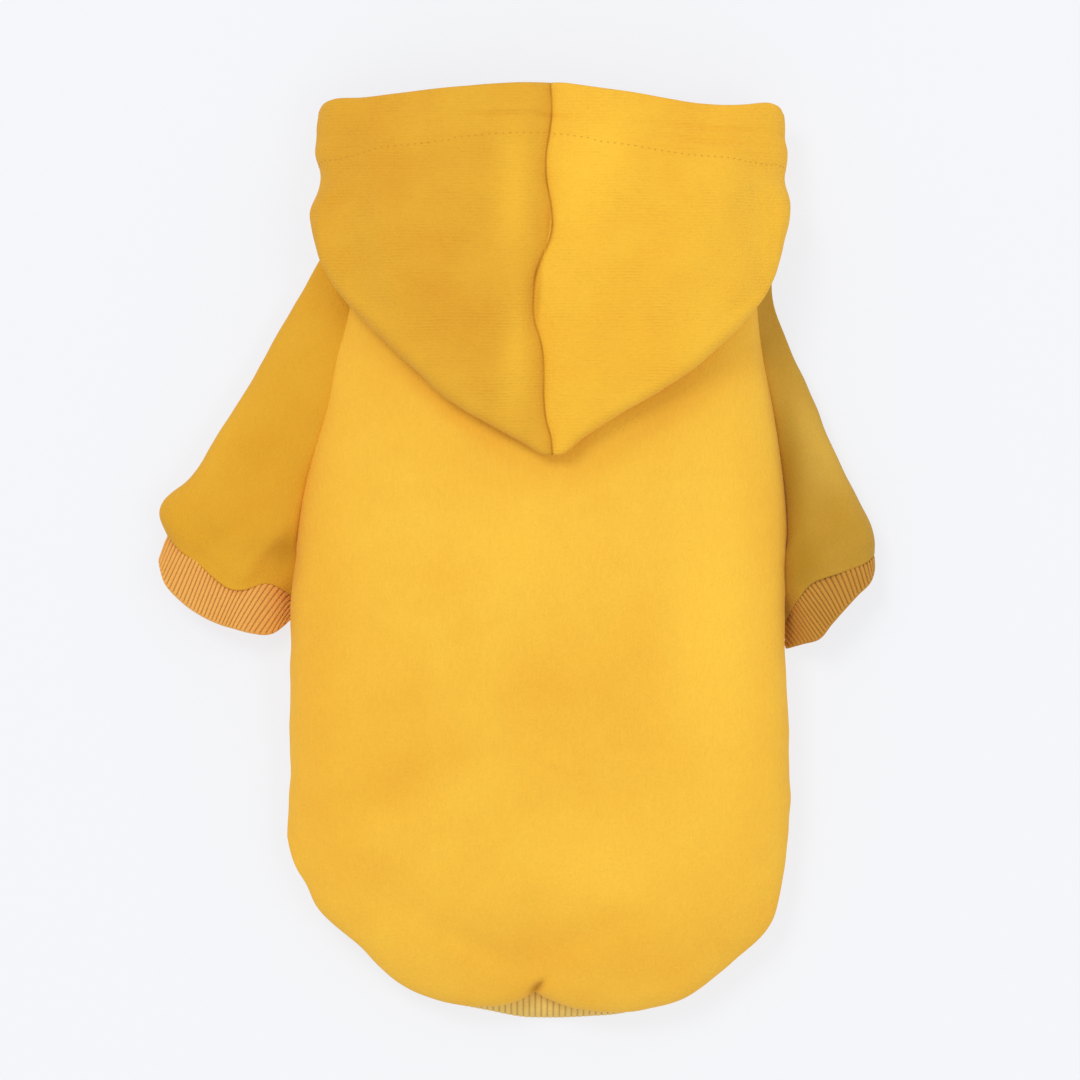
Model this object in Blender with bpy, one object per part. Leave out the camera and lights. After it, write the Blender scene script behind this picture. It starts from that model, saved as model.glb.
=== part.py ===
"""Small-dog hoodie in brushed fleece, lying belly down with its hood laid back over the shoulders.

Every panel is one layer of cloth with a real wall, so the body, both sleeves and the hood are hollow
and open at the waist, the cuffs, the neck and the hood's rim. The head end points along +Y, the back
faces +Z, and the belly rests on the plane Z = 0. Units are metres.
"""

import math
from collections import namedtuple

import bmesh
import bpy
import numpy as np

# Body: a short tube, widest at the waist, with a round tail end.
BODY_LENGTH = 0.295
BODY_WIDTH = 0.191
BODY_HEIGHT = 0.042
TAIL_START = 0.765
UNDERARM = 0.385
NECK_RISE = 0.004
THROAT_DROP = 0.012
BACK_ROUNDNESS = 2.5
SIDE_TURN_UNDER = 0.012
UNDERARM_TURN_UNDER = 0.0006
TURN_LENGTH = 0.045
TAIL_TURN_UNDER = 0.006
TAIL_EDGE_HEIGHT = 0.0145
TAIL_SEAM_HEIGHT = 0.0090
CORNER_SEAM_HEIGHT = 0.0036
TAIL_CAP_START = 0.70

# Pinch in the middle of the tail hem, where the gathered cloth shows the rib below it.
PINCH_ACROSS = -0.02
PINCH_WIDTH = 0.09
PINCH_DEPTH = 0.010
PINCH_CREASE = 0.0015

# Hood: a deep pouch, laid back so that its crown hangs down the back to a point.
HOOD_LENGTH = 0.142
HOOD_HALF_WIDTH = 0.091
HOOD_HEIGHT = 0.060
HOOD_OFFSET = 0.0047
HOOD_RIM_FROM_NECK = 0.0608
HOOD_ABOVE_BACK = 0.0012
HEM_DEPTH = 0.019
SEAM_GROOVE_DEPTH = 0.0028
SEAM_GROOVE_WIDTH = 0.0048
SEAM_WANDER_REACH = 0.022

SUPPORT_REACH = 0.005
SHOULDER_BULGE = 0.006
HIGHEST_BEND = 0.8

# The neckline's ends stand out at the shoulders, where the sleeves reach the neck.
NECK_SIDE_REACH = 0.009
NECK_CORNER_GAP = 0.0018

# Sleeves and cuffs.
CUFF_WIDTH = 0.054
CUFF_TILT_LEFT = 27.5
CUFF_TILT_RIGHT = 138.0
CUFF_HEIGHT = 0.0185
SLEEVE_FOLD_HEIGHT = 0.0085
SLEEVE_HEIGHT = 0.0215
SLEEVE_SWELL = 0.55
UNDERARM_ROUNDNESS = 0.12
CUFF_RIBS = 46
CUFF_GAP = 0.0012
CUFF_RIB_DEPTH = 0.0008

# Waistband.
WAISTBAND_DEPTH = 0.018
BAND_END_HEIGHT = 0.0012

# Shares of the way round the neckline at which the back ends and the side ends.
NECK_BACK_SHARE = 0.38
NECK_SIDE_SHARE = 0.50

# Cloth.
FLEECE = 0.0021
HEM_CLOTH = 0.0036
RIB_CLOTH = 0.0020
SLEEVE_END_WALL = 0.0009
SEAM_GAP = 0.0005
NARROW_GAP = 0.0003
FLOOR_GAP = 0.0002

HALF_WIDTH = BODY_WIDTH / 2
TAIL_LENGTH = (1 - TAIL_START) * BODY_LENGTH

# Along is the share of BODY_LENGTH from the neckline. Left and right are shares of HALF_WIDTH.
# Crown and the edges are shares of BODY_HEIGHT. Softness is how gently the left edge meets the sleeve.
BodySection = namedtuple("BodySection", "along left right crown left_edge right_edge softness")
BODY = (
    BodySection(0.000, 0.745, 0.860, 0.880, 0.30, 0.30, 0.85),
    BodySection(0.090, 0.757, 0.865, 0.935, 0.42, 0.32, 0.85),
    BodySection(0.155, 0.812, 0.890, 0.965, 0.47, 0.33, 0.82),
    BodySection(0.205, 0.836, 0.922, 0.985, 0.48, 0.33, 0.80),
    BodySection(0.260, 0.888, 0.950, 1.000, 0.45, 0.33, 0.74),
    BodySection(0.310, 0.932, 0.971, 1.000, 0.40, 0.33, 0.66),
    BodySection(0.385, 0.969, 0.986, 1.000, 0.35, 0.34, 0.54),
    BodySection(0.450, 0.992, 0.978, 0.990, 0.34, 0.35, 0.50),
    BodySection(0.530, 0.996, 0.980, 0.980, 0.34, 0.35, 0.50),
    BodySection(0.640, 0.997, 0.993, 0.960, 0.34, 0.35, 0.50),
    BodySection(0.715, 1.000, 0.997, 0.930, 0.34, 0.35, 0.50),
    BodySection(0.765, 1.010, 0.990, 0.900, 0.34, 0.35, 0.50),
)

# Outline of the tail: across is the share of the half width, drop the share of TAIL_LENGTH.
TailPoint = namedtuple("TailPoint", "across drop")
TAIL = (
    TailPoint(-1.000, 0.000),
    TailPoint(-0.985, 0.105),
    TailPoint(-0.930, 0.250),
    TailPoint(-0.875, 0.400),
    TailPoint(-0.800, 0.500),
    TailPoint(-0.700, 0.622),
    TailPoint(-0.600, 0.765),
    TailPoint(-0.500, 0.859),
    TailPoint(-0.360, 0.923),
    TailPoint(-0.200, 0.955),
    TailPoint(0.000, 0.958),
    TailPoint(0.200, 0.968),
    TailPoint(0.330, 0.973),
    TailPoint(0.450, 0.947),
    TailPoint(0.570, 0.898),
    TailPoint(0.680, 0.808),
    TailPoint(0.800, 0.664),
    TailPoint(0.895, 0.545),
    TailPoint(0.950, 0.410),
    TailPoint(0.985, 0.190),
    TailPoint(1.000, 0.000),
)

# Soft hollows in the back: across as above, along in shares of BODY_LENGTH, spans in the same shares,
# depth as a share of BODY_HEIGHT.
Hollow = namedtuple("Hollow", "across along across_span along_span depth")
HOLLOWS = (
    Hollow(0.00, 0.90, 0.22, 0.055, 0.060),
    Hollow(-0.55, 0.70, 0.24, 0.090, 0.050),
    Hollow(-0.62, 0.86, 0.16, 0.050, 0.035),
    Hollow(0.30, 0.42, 0.30, 0.090, 0.025),
    Hollow(-0.78, 0.52, 0.10, 0.110, 0.030),
)

# Hood, from the centre seam (around 0) over the side to the throat (around 1). The fold is the edge
# of the laid-back pouch and the rim is the opening. Across is in shares of HOOD_HALF_WIDTH, along in
# shares of HOOD_LENGTH from the point to the rim, and heights are shares of HOOD_HEIGHT.
HoodStation = namedtuple(
    "HoodStation",
    "around fold_across fold_along rim_across rim_along fold_height rim_height half puff",
)
HOOD_LEFT = (
    HoodStation(0.00, 0.000, 0.000, 0.000, 0.993, 0.815, 0.750, 0.080, 0.090),
    HoodStation(0.025, 0.050, 0.0015, 0.056, 0.993, 0.815, 0.750, 0.080, 0.090),
    HoodStation(0.06, 0.120, 0.030, 0.134, 0.993, 0.810, 0.750, 0.080, 0.095),
    HoodStation(0.15, 0.372, 0.123, 0.338, 0.986, 0.780, 0.725, 0.085, 0.105),
    HoodStation(0.26, 0.647, 0.270, 0.589, 0.973, 0.650, 0.600, 0.100, 0.110),
    HoodStation(0.35, 0.868, 0.420, 0.798, 0.957, 0.545, 0.500, 0.110, 0.090),
    HoodStation(0.42, 0.968, 0.527, 0.925, 0.953, 0.470, 0.385, 0.095, 0.050),
    HoodStation(0.50, 1.002, 0.640, 0.978, 0.925, 0.330, 0.235, 0.070, 0.000),
    HoodStation(0.58, 0.940, 0.690, 0.925, 0.895, 0.070, 0.085, 0.030, 0.000),
    HoodStation(0.72, 0.630, 0.680, 0.630, 0.872, 0.000, 0.000, 0.000, 0.000),
    HoodStation(1.00, 0.000, 0.670, 0.000, 0.861, 0.000, 0.000, 0.000, 0.000),
)
HOOD_RIGHT = (
    HoodStation(0.00, 0.000, 0.000, 0.000, 0.993, 0.815, 0.750, 0.080, 0.090),
    HoodStation(0.025, 0.050, 0.0020, 0.058, 0.991, 0.815, 0.750, 0.080, 0.090),
    HoodStation(0.06, 0.120, 0.040, 0.142, 0.984, 0.810, 0.750, 0.080, 0.100),
    HoodStation(0.15, 0.372, 0.138, 0.338, 0.969, 0.780, 0.725, 0.085, 0.120),
    HoodStation(0.26, 0.647, 0.259, 0.589, 0.944, 0.650, 0.610, 0.100, 0.120),
    HoodStation(0.35, 0.868, 0.405, 0.798, 0.938, 0.530, 0.510, 0.110, 0.095),
    HoodStation(0.42, 0.950, 0.525, 0.922, 0.942, 0.440, 0.390, 0.095, 0.050),
    HoodStation(0.50, 0.990, 0.655, 0.968, 0.912, 0.300, 0.235, 0.070, 0.000),
    HoodStation(0.58, 0.930, 0.690, 0.915, 0.885, 0.070, 0.085, 0.030, 0.000),
    HoodStation(0.72, 0.630, 0.680, 0.630, 0.872, 0.000, 0.000, 0.000, 0.000),
    HoodStation(1.00, 0.000, 0.670, 0.000, 0.861, 0.000, 0.000, 0.000, 0.000),
)

# Where the centre seam wanders, as a share of HOOD_HALF_WIDTH to the right, from the point to the rim.
SeamPoint = namedtuple("SeamPoint", "along shift")
SEAM_WANDER = (
    SeamPoint(0.00, 0.000),
    SeamPoint(0.10, -0.008),
    SeamPoint(0.25, -0.042),
    SeamPoint(0.38, -0.042),
    SeamPoint(0.47, -0.067),
    SeamPoint(0.53, -0.046),
    SeamPoint(0.59, -0.008),
    SeamPoint(0.65, -0.008),
    SeamPoint(0.72, -0.025),
    SeamPoint(0.80, -0.019),
    SeamPoint(0.88, -0.010),
    SeamPoint(1.00, 0.000),
)

# Side dents of the hood, where its edge buckles in: side -1 left, 1 right.
SideDent = namedtuple("SideDent", "side along span depth")
SIDE_DENTS = (
    SideDent(-1, 0.750, 0.045, 0.042),
    SideDent(-1, 0.700, 0.040, 0.030),
    SideDent(-1, 0.846, 0.020, 0.010),
    SideDent(1, 0.848, 0.014, 0.012),
    SideDent(1, 0.735, 0.045, 0.033),
)

# Outer edge of a sleeve, away from the straight line between shoulder and cuff, in shares of CUFF_WIDTH.
SleeveEdge = namedtuple("SleeveEdge", "down out")
SLEEVE_EDGE_LEFT = (
    SleeveEdge(0.00, 0.000),
    SleeveEdge(0.08, 0.012),
    SleeveEdge(0.16, 0.000),
    SleeveEdge(0.24, 0.007),
    SleeveEdge(0.40, 0.013),
    SleeveEdge(0.55, 0.020),
    SleeveEdge(0.76, 0.040),
    SleeveEdge(0.82, 0.050),
    SleeveEdge(0.87, 0.112),
    SleeveEdge(0.925, 0.145),
    SleeveEdge(0.965, 0.110),
    SleeveEdge(1.00, 0.000),
)
SLEEVE_EDGE_RIGHT = (
    SleeveEdge(0.00, 0.000),
    SleeveEdge(0.15, -0.158),
    SleeveEdge(0.30, -0.146),
    SleeveEdge(0.46, -0.102),
    SleeveEdge(0.60, -0.068),
    SleeveEdge(0.72, -0.036),
    SleeveEdge(0.83, -0.004),
    SleeveEdge(0.88, 0.024),
    SleeveEdge(0.925, 0.040),
    SleeveEdge(0.965, 0.030),
    SleeveEdge(1.00, 0.000),
)

# The cuff, from its outer fold (share 0) to its inner fold (share 1), seen from above: the seam with
# the sleeve and the open end. Across runs along the cuff and out runs away from the sleeve.
CuffStation = namedtuple("CuffStation", "share seam_across seam_out end_across end_out")
CUFF_LEFT = (
    CuffStation(0.00, 0.000, 0.000, 0.025, 0.180),
    CuffStation(0.14, 0.142, 0.059, 0.152, 0.300),
    CuffStation(0.28, 0.281, 0.074, 0.310, 0.356),
    CuffStation(0.43, 0.428, 0.107, 0.465, 0.378),
    CuffStation(0.57, 0.571, 0.128, 0.610, 0.374),
    CuffStation(0.70, 0.685, 0.070, 0.740, 0.350),
    CuffStation(0.78, 0.765, -0.020, 0.840, 0.328),
    CuffStation(0.88, 0.850, -0.040, 0.940, 0.285),
    CuffStation(1.00, 0.930, -0.020, 0.985, 0.140),
)
CUFF_RIGHT = (
    CuffStation(0.00, 0.000, 0.000, 0.050, 0.060),
    CuffStation(0.12, 0.086, 0.000, 0.150, 0.112),
    CuffStation(0.25, 0.190, -0.040, 0.278, 0.118),
    CuffStation(0.40, 0.320, -0.098, 0.421, 0.130),
    CuffStation(0.55, 0.455, -0.155, 0.560, 0.145),
    CuffStation(0.70, 0.570, -0.148, 0.689, 0.163),
    CuffStation(0.85, 0.670, -0.120, 0.785, 0.125),
    CuffStation(1.00, 0.750, -0.078, 0.890, 0.085),
)

# Where each cuff begins, as shares of HALF_WIDTH across and of BODY_LENGTH along.
CUFF_START_LEFT = (-1.486, 0.3765)
CUFF_START_RIGHT = (1.334, 0.4020)

# Where the waistband's open edge lies beyond its seam, in shares of WAISTBAND_DEPTH.
BandPoint = namedtuple("BandPoint", "across reach")
BAND_REACH = (
    BandPoint(-1.00, 0.15),
    BandPoint(-0.60, 0.20),
    BandPoint(-0.36, 0.31),
    BandPoint(-0.20, 0.37),
    BandPoint(-0.05, 0.50),
    BandPoint(0.05, 0.50),
    BandPoint(0.20, 0.44),
    BandPoint(0.36, 0.34),
    BandPoint(0.60, 0.20),
    BandPoint(1.00, 0.15),
)
BAND_BELLY_HALF = (0.900, 0.835)

# How densely the panels are divided. Half rows of the back are shared with the hood's neckline.
RAGLAN_STEPS = 7
SIDE_STEPS = 5
TAIL_STEPS = 7
HALF_ACROSS = (0.0, 0.066, 0.158, 0.28, 0.40, 0.52, 0.63, 0.73, 0.82, 0.895, 0.955, 1.0)
TURN_STEPS = 3
BELOW_UNDERARM = (0.0, 0.30, 0.55, 0.75, 0.90, 1.0)
SLEEVE_COLUMNS = 24
CUFF_ROWS = (0.0, 0.5, 1.0)
BAND_ANGLES = (0, 30, 60, 90)
HOOD_SIDE_SHARES = (0.405, 0.43, 0.455, 0.48, 0.50)
THROAT_ACROSS = (0.92, 0.84, 0.70, 0.40, 0.0)
HOOD_LOWER = (0.05, 0.35, 0.70)
HOOD_ROLL = (-90, -45, 0, 45, 90)
HOOD_UPPER = (0.18, 0.38, 0.58, 0.78, 0.93)
HOOD_HEM = (1.0, 0.93, 0.5, 0.0)

COLOURS = {
    "back_fleece": (0.93, 0.52, 0.045, 1.0),
    "belly_fleece": (0.93, 0.52, 0.045, 1.0),
    "sleeve_fleece": (0.84, 0.44, 0.040, 1.0),
    "hood_fleece": (0.90, 0.50, 0.045, 1.0),
    "cuff_rib": (0.80, 0.40, 0.090, 1.0),
    "waistband_rib": (0.77, 0.46, 0.120, 1.0),
}


def read(table, column, at):
    """Reads a column of a table smoothly, against the table's first column."""
    places = np.array([row[0] for row in table])
    values = np.array([getattr(row, column) for row in table])
    slopes = np.gradient(values, places)
    at = np.clip(np.asarray(at, float), places[0], places[-1])
    i = np.clip(np.searchsorted(places, at, side="right") - 1, 0, len(places) - 2)
    step = places[i + 1] - places[i]
    f = (at - places[i]) / step
    return (
        (2 * f**3 - 3 * f**2 + 1) * values[i]
        + (f**3 - 2 * f**2 + f) * step * slopes[i]
        + (3 * f**2 - 2 * f**3) * values[i + 1]
        + (f**3 - f**2) * step * slopes[i + 1]
    )


def smoothstep(x, start, end):
    f = np.clip((np.asarray(x, float) - start) / (end - start), 0, 1)
    return f * f * (3 - 2 * f)


def pinch(across):
    """How much of the pinch reaches a place across the tail hem, from 0 to 1."""
    return np.exp(-np.abs(across - PINCH_ACROSS) / PINCH_WIDTH)


def back_surface(across, row, pinched=1.0):
    """A point of the back's outer face. Across runs from -1 at the left edge to 1 at the right one, and
    row from 0 at the neckline to 1 at the tail's outline."""
    across, row = np.broadcast_arrays(np.asarray(across, float), np.asarray(row, float))
    along = row * TAIL_START
    left = read(BODY, "left", along)
    right = read(BODY, "right", along)
    x = across * HALF_WIDTH * np.where(across < 0, left, right)
    tail = np.clip((row - 0.5) / 0.5, 0, 1) ** 2
    drop = read(TAIL, "drop", across) * TAIL_LENGTH
    drop = drop - pinched * pinch(across) * PINCH_DEPTH * smoothstep(row, 0.8, 1.0)
    rise = NECK_RISE * (1 - across**2) * (1 - smoothstep(row, 0, 0.3))
    y = rise - along * BODY_LENGTH - drop * tail

    left_edge = read(BODY, "left_edge", along) * BODY_HEIGHT
    right_edge = read(BODY, "right_edge", along) * BODY_HEIGHT
    edge = left_edge + (right_edge - left_edge) * (across + 1) / 2
    edge = edge + (TAIL_EDGE_HEIGHT - edge) * smoothstep(row, 0.8, 1.0)
    power = np.where(across < 0, read(BODY, "softness", along), 0.5)
    dome = (1 - np.abs(across) ** BACK_ROUNDNESS) ** power
    cap = np.clip((row - TAIL_CAP_START) / (1 - TAIL_CAP_START), 0, 1)
    dome = dome * np.sqrt(np.clip(1 - cap**BACK_ROUNDNESS, 0, 1))
    z = edge + (read(BODY, "crown", along) * BODY_HEIGHT - edge) * dome
    for hollow in HOLLOWS:
        far = ((across - hollow.across) / hollow.across_span) ** 2
        far = far + ((-y / BODY_LENGTH - hollow.along) / hollow.along_span) ** 2
        z = z - hollow.depth * BODY_HEIGHT * np.exp(-far) * np.sqrt(dome)
    z = z - PINCH_CREASE * pinch(across) * smoothstep(row, 0.88, 0.97) * (1 - smoothstep(row, 0.97, 1.0))
    return np.stack([x, y, z], axis=-1)


def back_height(x, y):
    """Height of the back's outer face over a place on the shoulders, where the rows run straight across."""
    row = np.clip(-y / BODY_LENGTH / TAIL_START, 0, 0.5)
    along = row * TAIL_START
    half = HALF_WIDTH * np.where(x < 0, read(BODY, "left", along), read(BODY, "right", along))
    return back_surface(np.clip(x / half, -0.999, 0.999), row)[..., 2]


def support_height(x, y):
    """Highest place of the back close to a point, on which the laid-back hood rests."""
    heights = []
    for dx in (-SUPPORT_REACH, 0, SUPPORT_REACH):
        heights += [back_height(x + dx, y), back_height(x + dx, y - SUPPORT_REACH)]
    return float(np.max(heights))


def turn_under(along):
    """How far the side of the body turns in under itself."""
    grown = smoothstep(along * BODY_LENGTH, UNDERARM * BODY_LENGTH, UNDERARM * BODY_LENGTH + TURN_LENGTH)
    return UNDERARM_TURN_UNDER + (SIDE_TURN_UNDER - UNDERARM_TURN_UNDER) * grown


def at_corner(along):
    """From 0 along the sides to 1 at the corners of the waist."""
    return smoothstep(along / TAIL_START, TAIL_CAP_START, 1.0)


def side_inset(along):
    corner = at_corner(along)
    return turn_under(along) * (1 - corner) + TAIL_TURN_UNDER * corner


def side_seam_height(along):
    """The back panel ends just above the belly panel, and higher at the corners of the waist."""
    low = FLEECE + SEAM_GAP
    return low + (CORNER_SEAM_HEIGHT - low) * at_corner(along)


def belly_edge(side, along):
    """A point of the belly panel's edge: the front raglan seam, then the side seam."""
    column = "left" if side < 0 else "right"
    x = side * (HALF_WIDTH * read(BODY, column, along) - side_inset(along))
    return np.stack([x, -along * BODY_LENGTH, 0 * x], axis=-1)


def rows_of_back():
    raglan = np.linspace(0, UNDERARM / TAIL_START, RAGLAN_STEPS + 1)
    sides = np.linspace(raglan[-1], TAIL_CAP_START, SIDE_STEPS + 1)
    bend = np.sin(np.linspace(0, math.pi / 2, TAIL_STEPS + 1))
    return np.concatenate([raglan, sides[1:], TAIL_CAP_START + (1 - TAIL_CAP_START) * bend[1:]])


def columns_of_back():
    half = np.array(HALF_ACROSS)
    both = np.concatenate([-half[:0:-1], half])
    near_pinch = PINCH_ACROSS + PINCH_WIDTH * np.array([-1.0, -0.35, 0.0, 0.35, 1.0])
    kept = both[np.abs(both - PINCH_ACROSS) > 1.15 * PINCH_WIDTH]
    return np.sort(np.concatenate([kept, near_pinch, [0.0]]))


def outline_normals(points):
    """Outward directions, seen from above, along an outline that runs with the body on its left."""
    ahead = np.gradient(points[:, :2], axis=0)
    normals = np.stack([ahead[:, 1], -ahead[:, 0]], axis=-1)
    return normals / np.linalg.norm(normals, axis=1, keepdims=True)


def turned_edge(outline, inward, bottom, steps):
    """Rows that roll an outline under by a quarter turn, inward and down to a height."""
    normals = outline_normals(outline)
    rows = []
    for angle in np.linspace(0, math.pi / 2, steps + 1)[1:]:
        row = outline.copy()
        row[:, :2] -= normals * (inward * (1 - math.cos(angle)))[:, None]
        row[:, 2] -= (outline[:, 2] - bottom) * math.sin(angle)
        rows.append(row)
    return rows


def grid_mesh(grid):
    """A mesh of quads through rows of points. Its faces look along the rows' direction crossed with the
    columns'."""
    mesh = bmesh.new()
    rows, columns = grid.shape[:2]
    verts = [[mesh.verts.new(point) for point in row] for row in grid]
    for i in range(rows - 1):
        for j in range(columns - 1):
            mesh.faces.new((verts[i][j], verts[i + 1][j], verts[i + 1][j + 1], verts[i][j + 1]))
    return mesh, verts


def add_strip(mesh, first, rows):
    """Adds rows of points below a row of vertices, as a strip of quads."""
    above = first
    for row in rows:
        below = [mesh.verts.new(point) for point in row]
        for j in range(len(above) - 1):
            mesh.faces.new((above[j], below[j], below[j + 1], above[j + 1]))
        above = below
    return above


def cloth(name, mesh, wall, colour, parent, edge=(), edge_wall=0.0):
    """Makes a node from a mesh of a panel's outer face, with the wall growing inward. The vertices of its
    edge may have a wall of their own. A wall of 0 means that the mesh has both faces already."""
    data = bpy.data.meshes.new(name)
    mesh.verts.index_update()
    edge = {vert.index for vert in edge}
    mesh.to_mesh(data)
    mesh.free()
    data.shade_smooth()
    panel = bpy.data.objects.new(name, data)
    bpy.context.scene.collection.objects.link(panel)
    panel.parent = parent
    data.materials.append(colour)
    if wall == 0:
        return panel
    solidify = panel.modifiers.new("wall", "SOLIDIFY")
    solidify.offset = -1
    solidify.thickness = wall
    solidify.use_even_offset = False
    if edge:
        group = panel.vertex_groups.new(name="thicker")
        thicker = [i for i in range(len(data.vertices)) if (i in edge) == (edge_wall > wall)]
        group.add(thicker, 1.0, "REPLACE")
        solidify.thickness = max(wall, edge_wall)
        solidify.vertex_group = group.name
        solidify.thickness_vertex_group = min(wall, edge_wall) / max(wall, edge_wall)
    return panel


def knit(name, colour):
    material = bpy.data.materials.new(name)
    material.use_nodes = True
    shader = material.node_tree.nodes["Principled BSDF"]
    shader.inputs["Base Color"].default_value = colour
    shader.inputs["Roughness"].default_value = 0.95
    shader.inputs["Metallic"].default_value = 0.0
    return material


def make_back_panel(colour, parent):
    """The back: a domed sheet whose sides and tail roll under to the seams."""
    rows = rows_of_back()
    columns = columns_of_back()
    grid = back_surface(columns[None, :], rows[:, None])
    mesh, verts = grid_mesh(grid)
    left = [verts[i][0] for i in range(RAGLAN_STEPS, len(rows))]
    right = [verts[i][-1] for i in range(RAGLAN_STEPS, len(rows))]
    edge = left + verts[-1][1:-1] + right[::-1]
    outline = np.array([vert.co[:] for vert in edge])
    along = rows[RAGLAN_STEPS:] * TAIL_START
    middle = columns[1:-1]
    inward = np.concatenate([side_inset(along), tail_inset(middle), side_inset(along)[::-1]])
    low = np.concatenate([side_seam_height(along), tail_seam_height(middle), side_seam_height(along)[::-1]])
    add_strip(mesh, edge, turned_edge(outline, inward, low, TURN_STEPS))
    return cloth("back_panel", mesh, FLEECE, colour, parent)


def make_belly_panel(colour, parent):
    """The belly: a flat sheet."""
    half = np.array(THROAT_ACROSS + (1.0,))
    columns = np.unique(np.concatenate([-half, half]))
    grid = []
    for along in rows_of_back() * TAIL_START:
        row = []
        for across in columns:
            edge = belly_edge(-1 if across < 0 else 1, along)
            dip = THROAT_DROP * (1 - across**2) * (1 - smoothstep(along, 0, UNDERARM))
            row.append((edge[0] * abs(across), edge[1] - dip, 0.0))
        grid.append(row[::-1])
    mesh = grid_mesh(np.array(grid))[0]
    return cloth("belly_panel", mesh, FLEECE, colour, parent)


def tail_inset(across):
    """How far the tail hem turns under, which is little at the pinch."""
    return TAIL_TURN_UNDER * (1 - 0.9 * pinch(across))


def tail_seam_height(across):
    return TAIL_SEAM_HEIGHT + (CORNER_SEAM_HEIGHT - TAIL_SEAM_HEIGHT) * np.abs(across) ** 3


def make_waistband_back(colour, parent):
    """The waistband's back half: from the tail's seam it bends out and down to the floor."""
    across = columns_of_back()
    outline = back_surface(across, np.ones_like(across))
    seam = outline.copy()
    seam[:, :2] -= outline_normals(outline) * tail_inset(across)[:, None]
    seam[:, 2] = tail_seam_height(across) - SEAM_GAP
    end = back_surface(across, np.ones_like(across), pinched=0.0)
    reach = read(BAND_REACH, "reach", across) * WAISTBAND_DEPTH - TAIL_TURN_UNDER
    end[:, :2] += outline_normals(end) * reach[:, None]
    start_y = -TAIL_START * BODY_LENGTH - 2 * SEAM_GAP
    loops = []
    for angle in np.radians(BAND_ANGLES):
        row = seam + (end - seam) * math.sin(angle)
        row[:, 1] = np.minimum(row[:, 1], start_y)
        row[:, 2] = BAND_END_HEIGHT + (seam[:, 2] - BAND_END_HEIGHT) * math.cos(angle)
        loops.append(row)
    mesh = grid_mesh(np.array(loops))[0]
    return cloth("waistband_back", mesh, RIB_CLOTH, colour, parent)


def make_waistband_belly(colour, parent):
    """The waistband's belly half: a flat strip below the belly panel's hem."""
    start_y = -TAIL_START * BODY_LENGTH - NARROW_GAP
    grid = []
    for share in (0.0, 0.5, 1.0):
        half = HALF_WIDTH * (BAND_BELLY_HALF[0] + (BAND_BELLY_HALF[1] - BAND_BELLY_HALF[0]) * share)
        y = start_y - WAISTBAND_DEPTH * share
        grid.append([(half * across, y, 0.0) for across in np.linspace(1, -1, 9)])
    mesh = grid_mesh(np.array(grid))[0]
    return cloth("waistband_belly", mesh, RIB_CLOTH, colour, parent)


def cuff_point(side, share, out):
    """A place of the cuff seen from above. Share runs from its outer fold to its inner one, and out from 0
    at the seam to 1 at the open end."""
    table = CUFF_LEFT if side < 0 else CUFF_RIGHT
    start = CUFF_START_LEFT if side < 0 else CUFF_START_RIGHT
    tilt = math.radians(CUFF_TILT_LEFT if side < 0 else CUFF_TILT_RIGHT)
    seam_across, end_across = read(table, "seam_across", share), read(table, "end_across", share)
    seam_out, end_out = read(table, "seam_out", share), read(table, "end_out", share)
    run = CUFF_WIDTH * (seam_across + (end_across - seam_across) * out)
    away = CUFF_WIDTH * (seam_out + (end_out - seam_out) * out)
    x = start[0] * HALF_WIDTH + run * math.cos(tilt) + side * away * math.sin(tilt)
    y = -start[1] * BODY_LENGTH - run * math.sin(tilt) + side * away * math.cos(tilt)
    return x, y


def even_angles(side, count):
    """Angles that stand evenly round the cuff, from its outer fold."""
    fine = np.linspace(0, 2 * math.pi, 721)
    loop = cuff_loop(side, 0.5, fine)
    run = np.concatenate([[0], np.cumsum(np.linalg.norm(np.diff(loop, axis=0), axis=1))])
    return np.interp(np.arange(count) / count * run[-1], run, fine)


def cuff_loop(side, out, angles):
    """A loop round the cuff. Angle 0 is the outer fold, a quarter turn the top, half a turn the inner
    fold."""
    share = (1 - np.cos(angles)) / 2
    x, y = cuff_point(side, share, out)
    fold = SLEEVE_FOLD_HEIGHT
    z = fold + np.where(np.sin(angles) > 0, CUFF_HEIGHT - fold, fold - FLOOR_GAP) * np.sin(angles)
    return np.stack([x, y, z], axis=-1)


def cuff_axes(side):
    """The cuff's directions seen from above: away from the sleeve, and across to its inner fold."""
    angles = np.linspace(0, 2 * math.pi, 24, endpoint=False)
    away = cuff_loop(side, 1.0, angles).mean(axis=0) - cuff_loop(side, 0.0, angles).mean(axis=0)
    away = away[:2] / np.linalg.norm(away[:2])
    return away, np.array([away[1], -away[0]]) * side


def inward_of_tube(angles, run, height):
    """Inward directions round a flattened tube, along its run and upward."""
    along = np.cos(angles) * height
    up = -np.sin(angles) * run
    size = np.hypot(along, up)
    return along / size, up / size


def neck_side(side, f):
    """The neckline's end at the shoulder, from the back's corner (0) out and round to the belly's (1)."""
    top = back_surface(float(side), 0.0)
    bottom = belly_edge(side, 0.0)
    point = top + (bottom - top) * f
    point[0] += side * NECK_SIDE_REACH * math.sin(math.pi * f)
    point[2] = top[2] * (1 + math.cos(math.pi * f)) / 2
    return point


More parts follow.
